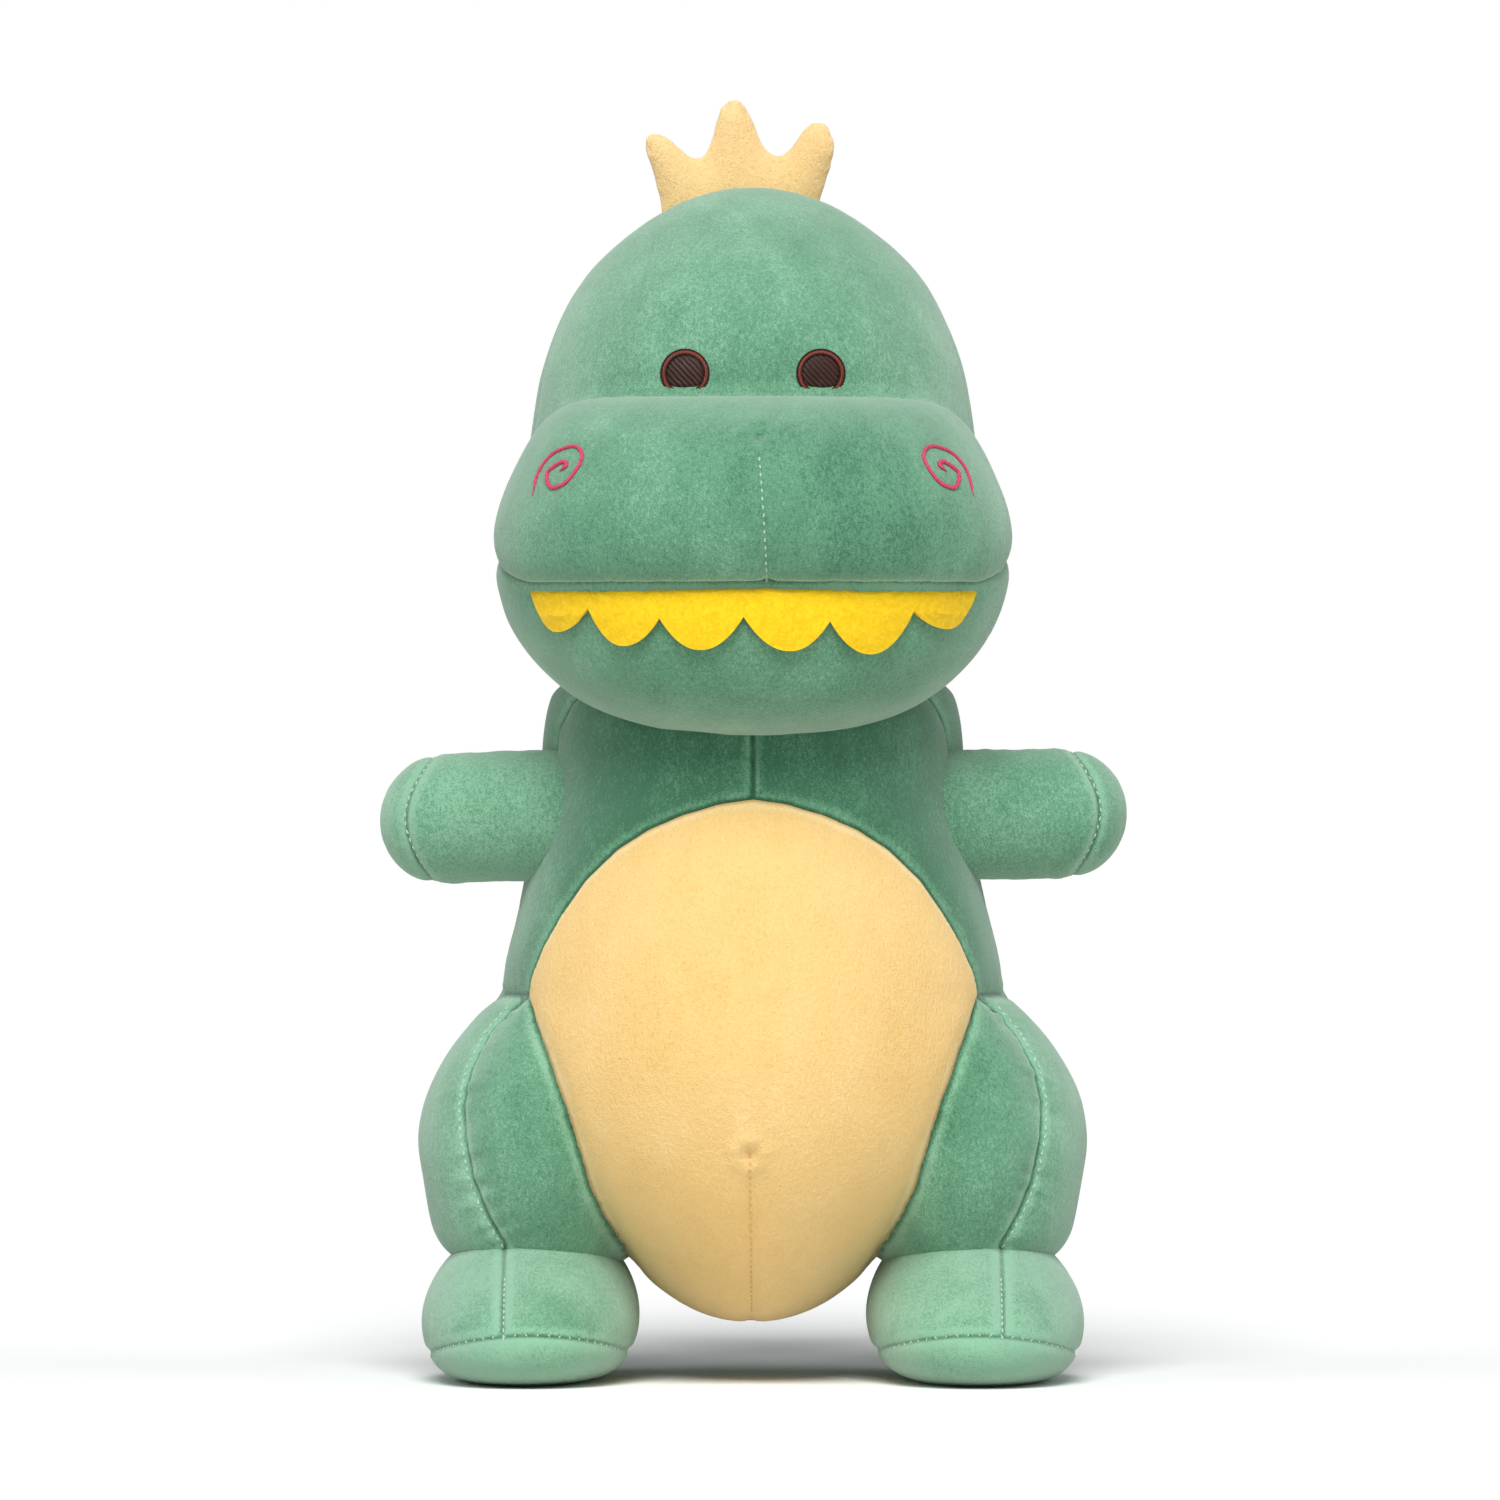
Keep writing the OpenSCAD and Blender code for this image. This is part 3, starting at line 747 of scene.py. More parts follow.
# %% The head cover
HEAD_VOXEL = 0.0030
FOREHEAD, MUZZLE_PANEL, JAW_PANEL, HEAD_BACK = 1, 2, 3, 4
HEAD_SEAM_Y = -0.020
BROW_LOW = 0.312          # the lower end of that seam on the cheeks
BROW_STEP = 0.0060        # how far the muzzle stands out where its seam runs


def mouth_field(co):
    """Signed distance above the mouth seam."""
    outline = MOUTH_SEAM + [(0.05, 0.60), (-0.20, 0.60)]
    return -from_outline(co[:, 1], co[:, 2], outline)


def brow_field(co):
    """How far a point stands out in front of the skull, less the step down from the muzzle."""
    heights = np.array([station[0] for station in SKULL])
    half, front, back = (np.interp(co[:, 2], heights, [station[i] for station in SKULL]) for i in (2, 3, 4))
    middle, deep = (front + back) / 2, (back - front) / 2
    round_on = np.abs(co[:, 0] / half) ** 2.15 + np.abs((co[:, 1] - middle) / deep) ** 2.15
    return BROW_STEP - (round_on ** (1 / 2.15) - 1) * np.minimum(half, deep)


def ahead(co):
    return co[:, 1] < HEAD_SEAM_Y + 0.002


def head_panel(co):
    left = co[:, 0] > 0
    low = mouth_field(co) < 0
    muzzle = (brow_field(co) < 0) | (co[:, 2] < BROW_LOW)
    front = np.where(low, JAW_PANEL * 2, np.where(muzzle, MUZZLE_PANEL * 2, FOREHEAD * 2))
    return np.where(co[:, 1] < HEAD_SEAM_Y, front, HEAD_BACK * 2 + left)


head = skin(
    "head_cover",
    [loft(SKULL, 2.15, inset=1.5 * MM), loft(MUZZLE, 2.35, inset=1.5 * MM), loft(JAW, 2.2, inset=1.5 * MM)],
    HEAD_VOXEL,
)
co = evened(head, 4)
line = np.where(ahead(co), np.abs(mouth_field(co)), 1)
line = np.minimum(line, np.where(ahead(co) & (co[:, 2] > BROW_LOW), np.abs(brow_field(co)), 1))
line = np.minimum(line, np.abs(co[:, 1] - HEAD_SEAM_Y))
held = np.where(line < HEAD_VOXEL * 0.75, 1.0, 0.0)
held = np.maximum(held, (co[:, 2] < 0.2445) & (co[:, 1] > -0.06))
head = subdivided(blown_up(head, held, 200, 2.5 * MM))
head = sewn(
    head,
    [
        (lambda c: c[:, 1] - HEAD_SEAM_Y, None),
        (mouth_field, ahead),
        (brow_field, lambda c: ahead(c) & (c[:, 2] > BROW_LOW)),
        (lambda c: c[:, 2] - BROW_LOW, lambda c: ahead(c) & (brow_field(c) > -0.001)),
        (lambda c: c[:, 0], lambda c: c[:, 1] > HEAD_SEAM_Y - 0.001),
    ],
    head_panel,
    {
        frozenset((2 * JAW_PANEL, 2 * MUZZLE_PANEL)): Seam(2.6, 2.0, 5.5, 0.25, 6.0),
        frozenset((2 * JAW_PANEL, 2 * FOREHEAD)): Seam(1.6, 1.0, 6.0, 0.3, 6.0),
        frozenset((2 * FOREHEAD, 2 * MUZZLE_PANEL)): Seam(2.6, 2.6, 5.5, 0.3, 7.0),
        None: Seam(1.3, 0.8, 7.0, 0.3, 7.0),
    },
    seed=11,
    slack=0.6,
)

# %% [markdown]
# Each foot has an inner and an outer panel that meet over the instep, and a separate sole.

# %% The feet
FOOT_X = 0.0865
SOLE_MIDDLE = (0.0775, -0.044)
SOLE_Z = 0.0165          # the height of the sole's seam in the middle of the foot
HELD = 0.0020            # the cloth is held this close to a seam of a foot or an arm


def sole_line(co):
    """Signed height above the sole's seam, which dips towards the sides of the foot."""
    u = (np.abs(co[:, 0]) - 0.077) / 0.038
    return co[:, 2] - (SOLE_Z - 0.0070 * u**2 - 0.0025 * np.clip((co[:, 1] + 0.045) / 0.06, -1, 1))


def foot_panel(co):
    outer = np.abs(co[:, 0]) > FOOT_X
    return np.where(sole_line(co) < 0, 2, outer.astype(int))


feet = {}
for side, s in SIDES:
    foot = skin(f"foot_cover_{side}", [loft(FOOT, 2.15, s, 1.2 * MM)], 0.0026)
    co = evened(foot, 3)
    instep = np.where(co[:, 2] > 0.018, np.abs(np.abs(co[:, 0]) - FOOT_X), 1)
    held = np.where(np.minimum(np.abs(sole_line(co)), instep) < HELD, 1.0, 0.0)
    held = np.maximum(held, (co[:, 2] < 0.0016) | (co[:, 2] > 0.050))
    foot = subdivided(blown_up(foot, held, 400, 2.0 * MM))
    foot = sewn(
        foot,
        [(sole_line, None), (lambda c: np.abs(c[:, 0]) - FOOT_X, lambda c: sole_line(c) > -0.0005)],
        foot_panel,
        {None: Seam(0.7, 0.35, 4.5, 0.6, 4.5)},
        seed=20 + s,
        slack=0.4,
    )
    co = points_of(foot.data)
    co[:, 2] = np.maximum(co[:, 2], 0.0)
    set_points(foot.data, co)
    feet[side] = foot

# %% [markdown]
# Each arm is a stuffed tube with a round root, sewn into the side of the body. The end of
# the arm is a separate round panel.

# %% The arms
ARM_TILT = {"left": 0.010, "right": -0.035}
ARM_DROP = 0.0012
TIP_SEAM = 0.0135        # how far the end panel's seam is beyond the arm's straight part
TIP_CURVE = 0.010        # how much that seam bends back above and below


def tip_field(co):
    out = np.abs(co[:, 0]) - SHOULDER.x
    high = (co[:, 2] - SHOULDER.z) / ARM_R
    return out - (ARM_L + TIP_SEAM - TIP_CURVE * high**2)


def arm_panel(co):
    back = co[:, 1] > SHOULDER.y
    return np.where(tip_field(co) > 0, 2, back.astype(int))


arms = {}
for side, s in SIDES:
    root = Vector((s * SHOULDER.x, SHOULDER.y, SHOULDER.z))
    end = root + Vector((s * ARM_L, 0, 0))
    arm = skin(f"arm_cover_{side}", [tube([root, end], [ARM_R] * 2)], 0.0026)
    co = evened(arm, 2)
    line = np.minimum(np.abs(tip_field(co)), np.abs(co[:, 1] - SHOULDER.y))
    held = np.where((line < HELD) | (np.abs(co[:, 0]) < SHOULDER.x - 0.004), 1.0, 0.0)
    arm = subdivided(blown_up(arm, held, 400, 2.0 * MM))
    arm = sewn(
        arm,
        [(tip_field, None), (lambda c: c[:, 1] - SHOULDER.y, lambda c: tip_field(c) < 0.0005)],
        arm_panel,
        {None: Seam(0.8, 0.5, 5.0, 0.6, 5.0)},
        seed=30 + s,
        slack=0.5,
    )
    co = points_of(arm.data)
    lift = ARM_TILT[side] * np.maximum(np.abs(co[:, 0]) - SHOULDER.x, 0) - ARM_DROP
    co[:, 2] += lift
    set_points(arm.data, co)
    arms[side] = arm

# %% [markdown]
# The tail is a cone of two panels behind the body, and the crest is a flat pad of two
# yellow panels with a seam round its edge.

# %% The tail and the crest
tail = skin("tail_cover", [tube([TAIL_ROOT, TAIL_TIP], [TAIL_R[0] - MM, TAIL_R[1] - MM])], 0.0028)
co = evened(tail, 2)
held = np.where((np.abs(co[:, 0]) < 0.002) | (co[:, 1] < 0.05), 1.0, 0.0)
tail = subdivided(blown_up(tail, held, 400, 2.0 * MM))
tail = sewn(
    tail, [(lambda c: c[:, 0], None)], lambda c: (c[:, 0] > 0).astype(int),
    {None: Seam(1.2, 0.7, 5.0, 0.5, 6.0)}, seed=41,
)

outline = curved([(x, z) for x, z in CREST], 4)
points = [(p.x, CREST_Y + CREST_HALF * s, p.y) for s in (-1, 1) for p in outline]
n = len(outline)
faces = [tuple(range(n)), tuple(range(n, 2 * n))[::-1]]
faces += [(i, i + n, (i + 1) % n + n, (i + 1) % n) for i in range(n)]
crest = skin("crest_cover", [(points, faces)], 0.0017)
co = evened(crest, 5)
rim = np.abs(co[:, 1] - CREST_Y) < 0.0012
crest = subdivided(blown_up(crest, np.where(rim | (co[:, 2] < 0.400), 1.0, 0.0), 500, 3.5 * MM))
crest = sewn(
    crest, [(lambda c: c[:, 1] - CREST_Y, None)], lambda c: (c[:, 1] > CREST_Y).astype(int),
    {None: Seam(0.8, 0.3, 3.0, 0.35, 4.0)}, seed=51, slack=0.3,
)

# %% [markdown]
# A dart is a fold that is sewn up and ends in a point. It leaves a shallow line in the cloth,
# and the cloth puckers round the point.


# %% Darts
def darted(obj, top, bottom, depth, seed, width=3.2 * MM):
    """obj with a dart sewn down its front from top to bottom, given as (x, height)."""
    co = points_of(obj.data)
    front = co[:, 1] < -0.03
    far = np.where(front, to_line(co[:, 0], co[:, 2], [top, bottom]), 1)
    point = np.where(front, np.hypot(co[:, 0] - top[0], co[:, 2] - top[1]), 1)
    along = np.clip((top[1] - co[:, 2]) / 0.012, 0, 1)
    move = depth * np.exp(-((far / (1.3 * MM)) ** 2)) + 0.6 * depth * np.exp(-((far / width) ** 2)) * along
    move += 1.6 * depth * np.exp(-((point / (2.2 * MM)) ** 2))
    move -= 0.9 * depth * np.exp(-(((point - 5 * MM) / (2.4 * MM)) ** 2))
    angle = np.arctan2(co[:, 2] - top[1], co[:, 0] - top[0])
    spokes = np.cos(7 * angle + seed) * np.exp(-(((point - 6 * MM) / (4 * MM)) ** 2))
    move += 0.22 * depth * spokes
    set_points(obj.data, co - normals_of(co, triangles_of(obj.data)) * move[:, None])


darted(head, (0.0022, 0.3285), (0.0050, 0.2780), 0.70 * MM, 1.0)
darted(body, (-0.0012, 0.0815), (-0.0005, 0.0150), 0.70 * MM, 2.0)
print("darts sewn in the muzzle and the belly")

# %% [markdown]
# Each panel gets painted light and shade of its own: the chest is painted darker as the shade under the head,
# and the hips, the feet, the soles and the arms paler as painted light.


# %% Painted light and shade for each panel
def painted_panel_light(obj, painted_light_and_shade):
    """Store the painted light and shade of each panel, one value a panel: above 0 is paler, below 0 darker.
    """
    panel = kept_values(obj.data, "panel", len(obj.data.polygons))
    stored(obj.data, "nap_and_panel_shade", "FACE", [painted_light_and_shade.get(int(round(p)), 0.0) for p in panel])


# painted shade on the chest under the head; painted light on the hips, the feet, the soles and the arms
painted_panel_light(body, {2 * CHEST: -0.48, 2 * CHEST + 1: -0.48, 2 * THIGH: -0.04, 2 * THIGH + 1: -0.04,
               2 * HIP: 0.14, 2 * HIP + 1: 0.14})
painted_panel_light(head, {2 * FOREHEAD: 0.08, 2 * MUZZLE_PANEL: 0.04, 2 * JAW_PANEL: 0.02})
for side, _ in SIDES:
    painted_panel_light(feet[side], {0: 0.16, 1: 0.22, 2: 0.50})
    painted_panel_light(arms[side], {0: 0.20, 1: 0.10, 2: 0.16})

# %% [markdown]
# The yellow belly is a panel of its own. It is lifted off the body cover along its seam and
# given the thickness of the plush, so that its edge lies in the groove as a sewn edge does.

# %% The belly panel
def panel_from(cover, name, number, lift, thick):
    """A closed sheet over one panel of a cover, flush with it along the seam."""
    co, tri = points_of(cover.data), triangles_of(cover.data)
    panel = kept_values(cover.data, "panel", len(tri))
    seam = kept_values(cover.data, "seam", len(co))
    normal = normals_of(co, tri)
    tri = tri[panel == number]
    used, tri = np.unique(tri, return_inverse=True)
    tri = tri.reshape(-1, 3)
    co, normal, seam = co[used], normal[used], seam[used]
    rise = lift * np.clip(seam / (2 * MM), 0.08, 1)[:, None]
    outer, inner = co + normal * rise, co + normal * (rise - thick)
    n = len(co)
    around = sides_of(tri).tolist()
    back = {(b, a) for a, b in around}
    rim = [(b, a, a + n, b + n) for a, b in around if (a, b) not in back]
    faces = tri.tolist() + (tri[:, ::-1] + n).tolist() + rim
    mesh = bpy.data.meshes.new(name)
    mesh.from_pydata(np.vstack([outer, inner]).tolist(), [], faces)
    mesh.polygons.foreach_set("use_smooth", [len(f) == 3 for f in faces])
    stored(mesh, "seam", "POINT", np.concatenate([seam, seam]))
    print(f"{name}: {len(faces)} faces")
    return linked(name, mesh)


belly = panel_from(body, "belly_panel_cloth", 0, 0.5 * MM, 1.4 * MM)

# %% [markdown]
# ## The finishes
# Short pile plush is dull, pale where its pile leans towards the light, and pale again along
# its outline, where the pile is seen end on; that paleness along the outline is a painted sheen.
# One node group mottles the pile, and every plush material uses it with its own colours.


# %% Node helpers
def srgb(r, g, b):
    """A colour from 0 to 255 as a linear colour."""
    out = []
    for c in (r, g, b):
        c = c / 255
        out.append(c / 12.92 if c <= 0.04045 else ((c + 0.055) / 1.055) ** 2.4)
    return (*out, 1.0)


def node(tree, kind, settings=None, **inputs):
    """A node with its settings and its inputs; an input that is a socket is linked."""
    made = tree.nodes.new(kind)
    for key, value in (settings or {}).items():
        setattr(made, key, value)
    for key, value in inputs.items():
        name = key.replace("_", " ")
        socket = made.inputs[int(key[1:])] if key[0] == "i" and key[1:].isdigit() else made.inputs[name]
        if isinstance(value, bpy.types.NodeSocket):
            tree.links.new(value, socket)
        else:
            socket.default_value = value
    return made


def maths(tree, operation, a, b=0.0, c=0.0, clamp=False):
    made = node(tree, "ShaderNodeMath", {"operation": operation, "use_clamp": clamp}, i0=a, i1=b, i2=c)
    return made.outputs[0]


def mixed(tree, factor, a, b, mode="MIX"):
    made = tree.nodes.new("ShaderNodeMix")
    made.data_type, made.blend_type = "RGBA", mode
    for name, value in (("Factor", factor), ("A", a), ("B", b)):
        found = [s for s in made.inputs if s.name == name and (name == "Factor" or s.type == "RGBA")]
        socket = found[0]
        if isinstance(value, bpy.types.NodeSocket):
            tree.links.new(value, socket)
        else:
            socket.default_value = value
    return [s for s in made.outputs if s.type == "RGBA"][0]


def ranged(tree, value, low, high, out_low=0.0, out_high=1.0):
    made = node(
        tree, "ShaderNodeMapRange", {"interpolation_type": "SMOOTHSTEP"},
        Value=value, From_Min=low, From_Max=high, To_Min=out_low, To_Max=out_high,
    )
    return made.outputs[0]


def new_group(name, inputs, outputs):
    tree = bpy.data.node_groups.new(name, "ShaderNodeTree")
    for label, kind, value in inputs:
        socket = tree.interface.new_socket(name=label, in_out="INPUT", socket_type=kind)
        socket.default_value = value
    for label, kind in outputs:
        tree.interface.new_socket(name=label, in_out="OUTPUT", socket_type=kind)
    return tree, tree.nodes.new("NodeGroupInput"), tree.nodes.new("NodeGroupOutput")


# %% The plush pile
def plush_group():
    tree, given, out = new_group(
        "plush pile",
        [
            ("Deep", "NodeSocketColor", (0, 0, 0, 1)),
            ("Middle", "NodeSocketColor", (0.5, 0.5, 0.5, 1)),
            ("Pale", "NodeSocketColor", (1, 1, 1, 1)),
            ("Mottle", "NodeSocketFloat", 1.0),
        ],
        [("Color", "NodeSocketColor"), ("Normal", "NodeSocketVector"), ("Pile", "NodeSocketFloat")],
    )
    place = node(tree, "ShaderNodeTexCoord").outputs["Object"]
    down = node(tree, "ShaderNodeMapping", Vector=place, Scale=(1.0, 1.0, 0.55)).outputs[0]
    nap_and_panel_shade = node(tree, "ShaderNodeTexNoise", Vector=place, Scale=16.0, Detail=2.0, Distortion=0.6).outputs[0]
    patch = node(
        tree, "ShaderNodeTexNoise", Vector=down, Scale=70.0, Detail=5.0, Roughness=0.6, Distortion=0.3
    ).outputs[0]
    clump = node(tree, "ShaderNodeTexNoise", Vector=down, Scale=900.0, Detail=3.0, Roughness=0.75).outputs[0]
    fibre = node(tree, "ShaderNodeTexNoise", Vector=place, Scale=2200.0, Detail=2.0).outputs[0]
    panel = node(tree, "ShaderNodeAttribute", {"attribute_name": "panel"}).outputs["Fac"]
    tone = node(tree, "ShaderNodeTexWhiteNoise", {"noise_dimensions": "1D"}, W=panel).outputs["Value"]
    # each panel's painted light and shade, stored with the cover
    panel_light_and_shade = node(tree, "ShaderNodeAttribute", {"attribute_name": "nap_and_panel_shade"}).outputs["Fac"]
    seam = node(tree, "ShaderNodeAttribute", {"attribute_name": "seam"}).outputs["Fac"]
    groove = ranged(tree, seam, 0.0003, 0.0017)
    # a painted highlight along both sides of each seam
    seam_highlight = ranged(tree, seam, 0.0007, 0.0016)
    seam_highlight = maths(tree, "MULTIPLY", seam_highlight, ranged(tree, seam, 0.0016, 0.0050, 1, 0))

    def swing(value, size):
        return maths(tree, "MULTIPLY", maths(tree, "SUBTRACT", value, 0.5), size)

    total = maths(tree, "ADD", swing(nap_and_panel_shade, 0.95), swing(patch, 0.75))
    total = maths(tree, "ADD", total, swing(clump, 1.25))
    total = maths(tree, "ADD", total, swing(fibre, 1.3))
    total = maths(tree, "ADD", total, swing(tone, 0.10))
    total = maths(tree, "MULTIPLY", total, given.outputs["Mottle"])
    total = maths(tree, "ADD", total, panel_light_and_shade)
    # the painted seam highlight makes the colour paler
    total = maths(tree, "ADD", total, maths(tree, "MULTIPLY", seam_highlight, 0.42))
    total = maths(tree, "ADD", total, 0.5, clamp=True)
    low = mixed(tree, ranged(tree, total, 0.0, 0.5), given.outputs["Deep"], given.outputs["Middle"])
    high = mixed(tree, ranged(tree, total, 0.5, 1.0), low, given.outputs["Pale"])
    # painted shade in the seam's groove, darkening the colour towards the deep tone
    groove_shade = ranged(tree, seam, 0.0001, 0.0012, 0.50, 0.0)
    shade = mixed(tree, groove_shade, high, given.outputs["Deep"], "MULTIPLY")
    height = maths(tree, "ADD", maths(tree, "MULTIPLY", clump, 1.0), maths(tree, "MULTIPLY", fibre, 0.45))
    height = maths(tree, "ADD", height, maths(tree, "MULTIPLY", patch, 0.8))
    bump = node(tree, "ShaderNodeBump", Strength=0.65, Distance=0.0012, Height=height).outputs[0]
    tree.links.new(shade, out.inputs["Color"])
    tree.links.new(bump, out.inputs["Normal"])
    tree.links.new(maths(tree, "MULTIPLY", groove, clump), out.inputs["Pile"])
    return tree


PLUSH_GROUP = plush_group()


def material(name):
    made = bpy.data.materials.new(name)
    made.use_nodes = True
    shader = made.node_tree.nodes["Principled BSDF"]
    return made, made.node_tree, shader


def plush(name, deep, middle, pale, rim, mottle=1.0, sheen=0.5, sheen_tint=(1, 1, 1, 1), outline_sheen=0.45):
    """Short pile: mottled colour, painted paler along its outline as a sheen, with a soft shader sheen."""
    made, tree, shader = material(name)
    pile = tree.nodes.new("ShaderNodeGroup")
    pile.node_tree = PLUSH_GROUP
    for key, value in (("Deep", deep), ("Middle", middle), ("Pale", pale), ("Mottle", mottle)):
        pile.inputs[key].default_value = value
    # a painted sheen: the colour turns towards the rim colour along the outline
    facing = node(tree, "ShaderNodeLayerWeight", Blend=0.42).outputs["Facing"]
    outline = maths(tree, "MULTIPLY", maths(tree, "POWER", facing, 1.9), outline_sheen)
    colour = mixed(tree, outline, pile.outputs["Color"], rim)
    tree.links.new(colour, shader.inputs["Base Color"])
    tree.links.new(pile.outputs["Normal"], shader.inputs["Normal"])
    rough = maths(tree, "MULTIPLY_ADD", pile.outputs["Pile"], 0.15, 0.82)
    tree.links.new(rough, shader.inputs["Roughness"])
    shader.inputs["Specular IOR Level"].default_value = 0.12
    shader.inputs["Sheen Weight"].default_value = sheen
    shader.inputs["Sheen Roughness"].default_value = 0.42
    shader.inputs["Sheen Tint"].default_value = sheen_tint
    return made


# the fourth colour of each plush is its painted outline sheen
green = plush(
    "green plush", srgb(66, 116, 89), srgb(98, 151, 120), srgb(134, 182, 152), srgb(186, 208, 193),
    sheen=0.35, sheen_tint=srgb(215, 232, 220), outline_sheen=0.75,
)
yellow = plush(
    "yellow plush", srgb(220, 174, 96), srgb(235, 198, 130), srgb(245, 217, 162), srgb(240, 220, 178),
    0.6, 0.25, srgb(255, 240, 215), 0.35,
)
crest_yellow = plush(
    "crest plush", srgb(218, 174, 102), srgb(238, 202, 142), srgb(247, 219, 168), srgb(242, 218, 178),
    0.7, 0.25, srgb(255, 240, 215), 0.4,
)
print("plush materials:", green.name, yellow.name, crest_yellow.name)


# %% [markdown]
# Felt is matted wool: bright, dull and slightly hairy. Embroidery is satin stitch, so it has
# fine ridges along its threads and a soft shine; the ridges are painted with a highlight on top and shade
# between them.


# %% Felt and thread
def felt(name, dark, light):
    made, tree, shader = material(name)
    place = node(tree, "ShaderNodeTexCoord").outputs["Object"]
    mat = node(
        tree, "ShaderNodeTexNoise", Vector=place, Scale=420.0, Detail=5.0, Roughness=0.7, Distortion=1.2
    ).outputs[0]
    hair = node(tree, "ShaderNodeTexNoise", Vector=place, Scale=1900.0, Detail=3.0, Distortion=2.0).outputs[0]
    mix = maths(tree, "ADD", maths(tree, "MULTIPLY", mat, 0.7), maths(tree, "MULTIPLY", hair, 0.3))
    colour = mixed(tree, ranged(tree, mix, 0.35, 0.65), dark, light)
    tree.links.new(colour, shader.inputs["Base Color"])
    bump = node(tree, "ShaderNodeBump", Strength=0.6, Distance=0.0005, Height=mix).outputs[0]
    tree.links.new(bump, shader.inputs["Normal"])
    tree.links.new(ranged(tree, mat, 0.3, 0.7, 0.85, 0.98), shader.inputs["Roughness"])
    shader.inputs["Specular IOR Level"].default_value = 0.15
    shader.inputs["Sheen Weight"].default_value = 0.3
    shader.inputs["Sheen Tint"].default_value = (1, 0.95, 0.6, 1)
    return made


def thread(name, dark, light, slant=0.6, fine=2400.0):
    """Satin stitch, with its threads lying across the slant, and painted light and shade across their ridges.
    """
    made, tree, shader = material(name)
    place = node(tree, "ShaderNodeTexCoord").outputs["Object"]
    turned = node(tree, "ShaderNodeMapping", Vector=place, Rotation=(0.0, slant, 0.0)).outputs[0]
    ridge = node(
        tree, "ShaderNodeTexWave", {"wave_type": "BANDS", "bands_direction": "X"},
        Vector=turned, Scale=fine / 6.28, Distortion=1.5, Detail=2.0, Detail_Scale=2.0,
    ).outputs["Fac"]
    wear = node(tree, "ShaderNodeTexNoise", Vector=place, Scale=700.0, Detail=3.0).outputs[0]
    # painted highlight on each thread's ridge and painted shade between ridges, mixed with random wear of the
    # threads
    both = maths(tree, "ADD", maths(tree, "MULTIPLY", ridge, 0.65), maths(tree, "MULTIPLY", wear, 0.35))
    tree.links.new(mixed(tree, both, dark, light), shader.inputs["Base Color"])
    bump = node(tree, "ShaderNodeBump", Strength=0.7, Distance=0.0003, Height=ridge).outputs[0]
    tree.links.new(bump, shader.inputs["Normal"])
    tree.links.new(ranged(tree, wear, 0.3, 0.7, 0.42, 0.6), shader.inputs["Roughness"])
    shader.inputs["Specular IOR Level"].default_value = 0.25
    return made


teeth_felt = felt("yellow felt", srgb(232, 184, 10), srgb(250, 210, 34))
eye_brown = thread("dark brown thread", srgb(20, 9, 8), srgb(74, 44, 36), slant=0.75, fine=1300.0)
eye_rust = thread("rust thread", srgb(98, 40, 30), srgb(150, 74, 56), slant=0.1, fine=3000.0)
eye_line = thread("black brown thread", srgb(22, 12, 12), srgb(50, 30, 28))
pink = thread("crimson thread", srgb(176, 30, 70), srgb(232, 96, 128), slant=-0.7)
pale_thread = thread("pale green thread", srgb(150, 190, 165), srgb(198, 222, 200))
dark_thread = thread("dark green thread", srgb(62, 112, 84), srgb(96, 150, 118))
gold_thread = thread("pale yellow thread", srgb(206, 160, 90), srgb(234, 196, 132))

for piece, finish in (
    [(body, green), (head, green), (tail, green), (belly, yellow), (crest, crest_yellow)]
    + [(o, green) for o in list(feet.values()) + list(arms.values())]
):
    piece.data.materials.clear()
    piece.data.materials.append(finish)
print("covers painted")

# %% [markdown]
# ## Embroidery, felt and stitches
# The eyes are satin stitch discs with a rust rim between two dark lines. They start as a
# flat sphere and rings, and each of their points is then laid on the head.

# %% Eyes
EYE_LOW = 0.3470         # the lowest part of the forehead that an eye lies on
head_tree = tree_of(head)
body_tree = tree_of(body)


def alone():
    bpy.ops.object.select_all(action="DESELECT")


def placed(name, finish):
    """The active object with its place in its mesh, a smooth surface and a finish."""
    obj = bpy.context.object
    obj.name = obj.data.name = name
    bpy.ops.object.transform_apply(location=True, rotation=True, scale=True)
    bpy.ops.object.shade_smooth()
    obj.data.materials.clear()
    obj.data.materials.append(finish)
    return obj


def laid_on(obj, tree):
    """Every point keeps its height in y, counted from the cover behind it. Under EYE_LOW the
    eye hangs straight down behind the muzzle's fold."""
    co = points_of(obj.data)
    middle = (co[:, 1].min() + co[:, 1].max()) / 2
    for i, (x, y, z) in enumerate(co):
        hit, _ = from_front(tree, x, max(z, EYE_LOW))
        co[i, 1] = hit.y + (y - middle)
    set_points(obj.data, co)
    return obj


def satin_disc(name, x, z, radius, rise, finish):
    alone()
    bpy.ops.mesh.primitive_uv_sphere_add(
        segments=64, ring_count=32, radius=radius, location=(x, 0, z), rotation=(math.pi / 2, 0, 0)
    )
    bpy.ops.object.mode_set(mode="EDIT")
    bpy.ops.mesh.select_all(action="SELECT")
    bpy.ops.transform.resize(value=(1, rise / radius, 1), center_override=(x, 0, z))
    bpy.ops.object.mode_set(mode="OBJECT")
    return laid_on(placed(name, finish), head_tree)


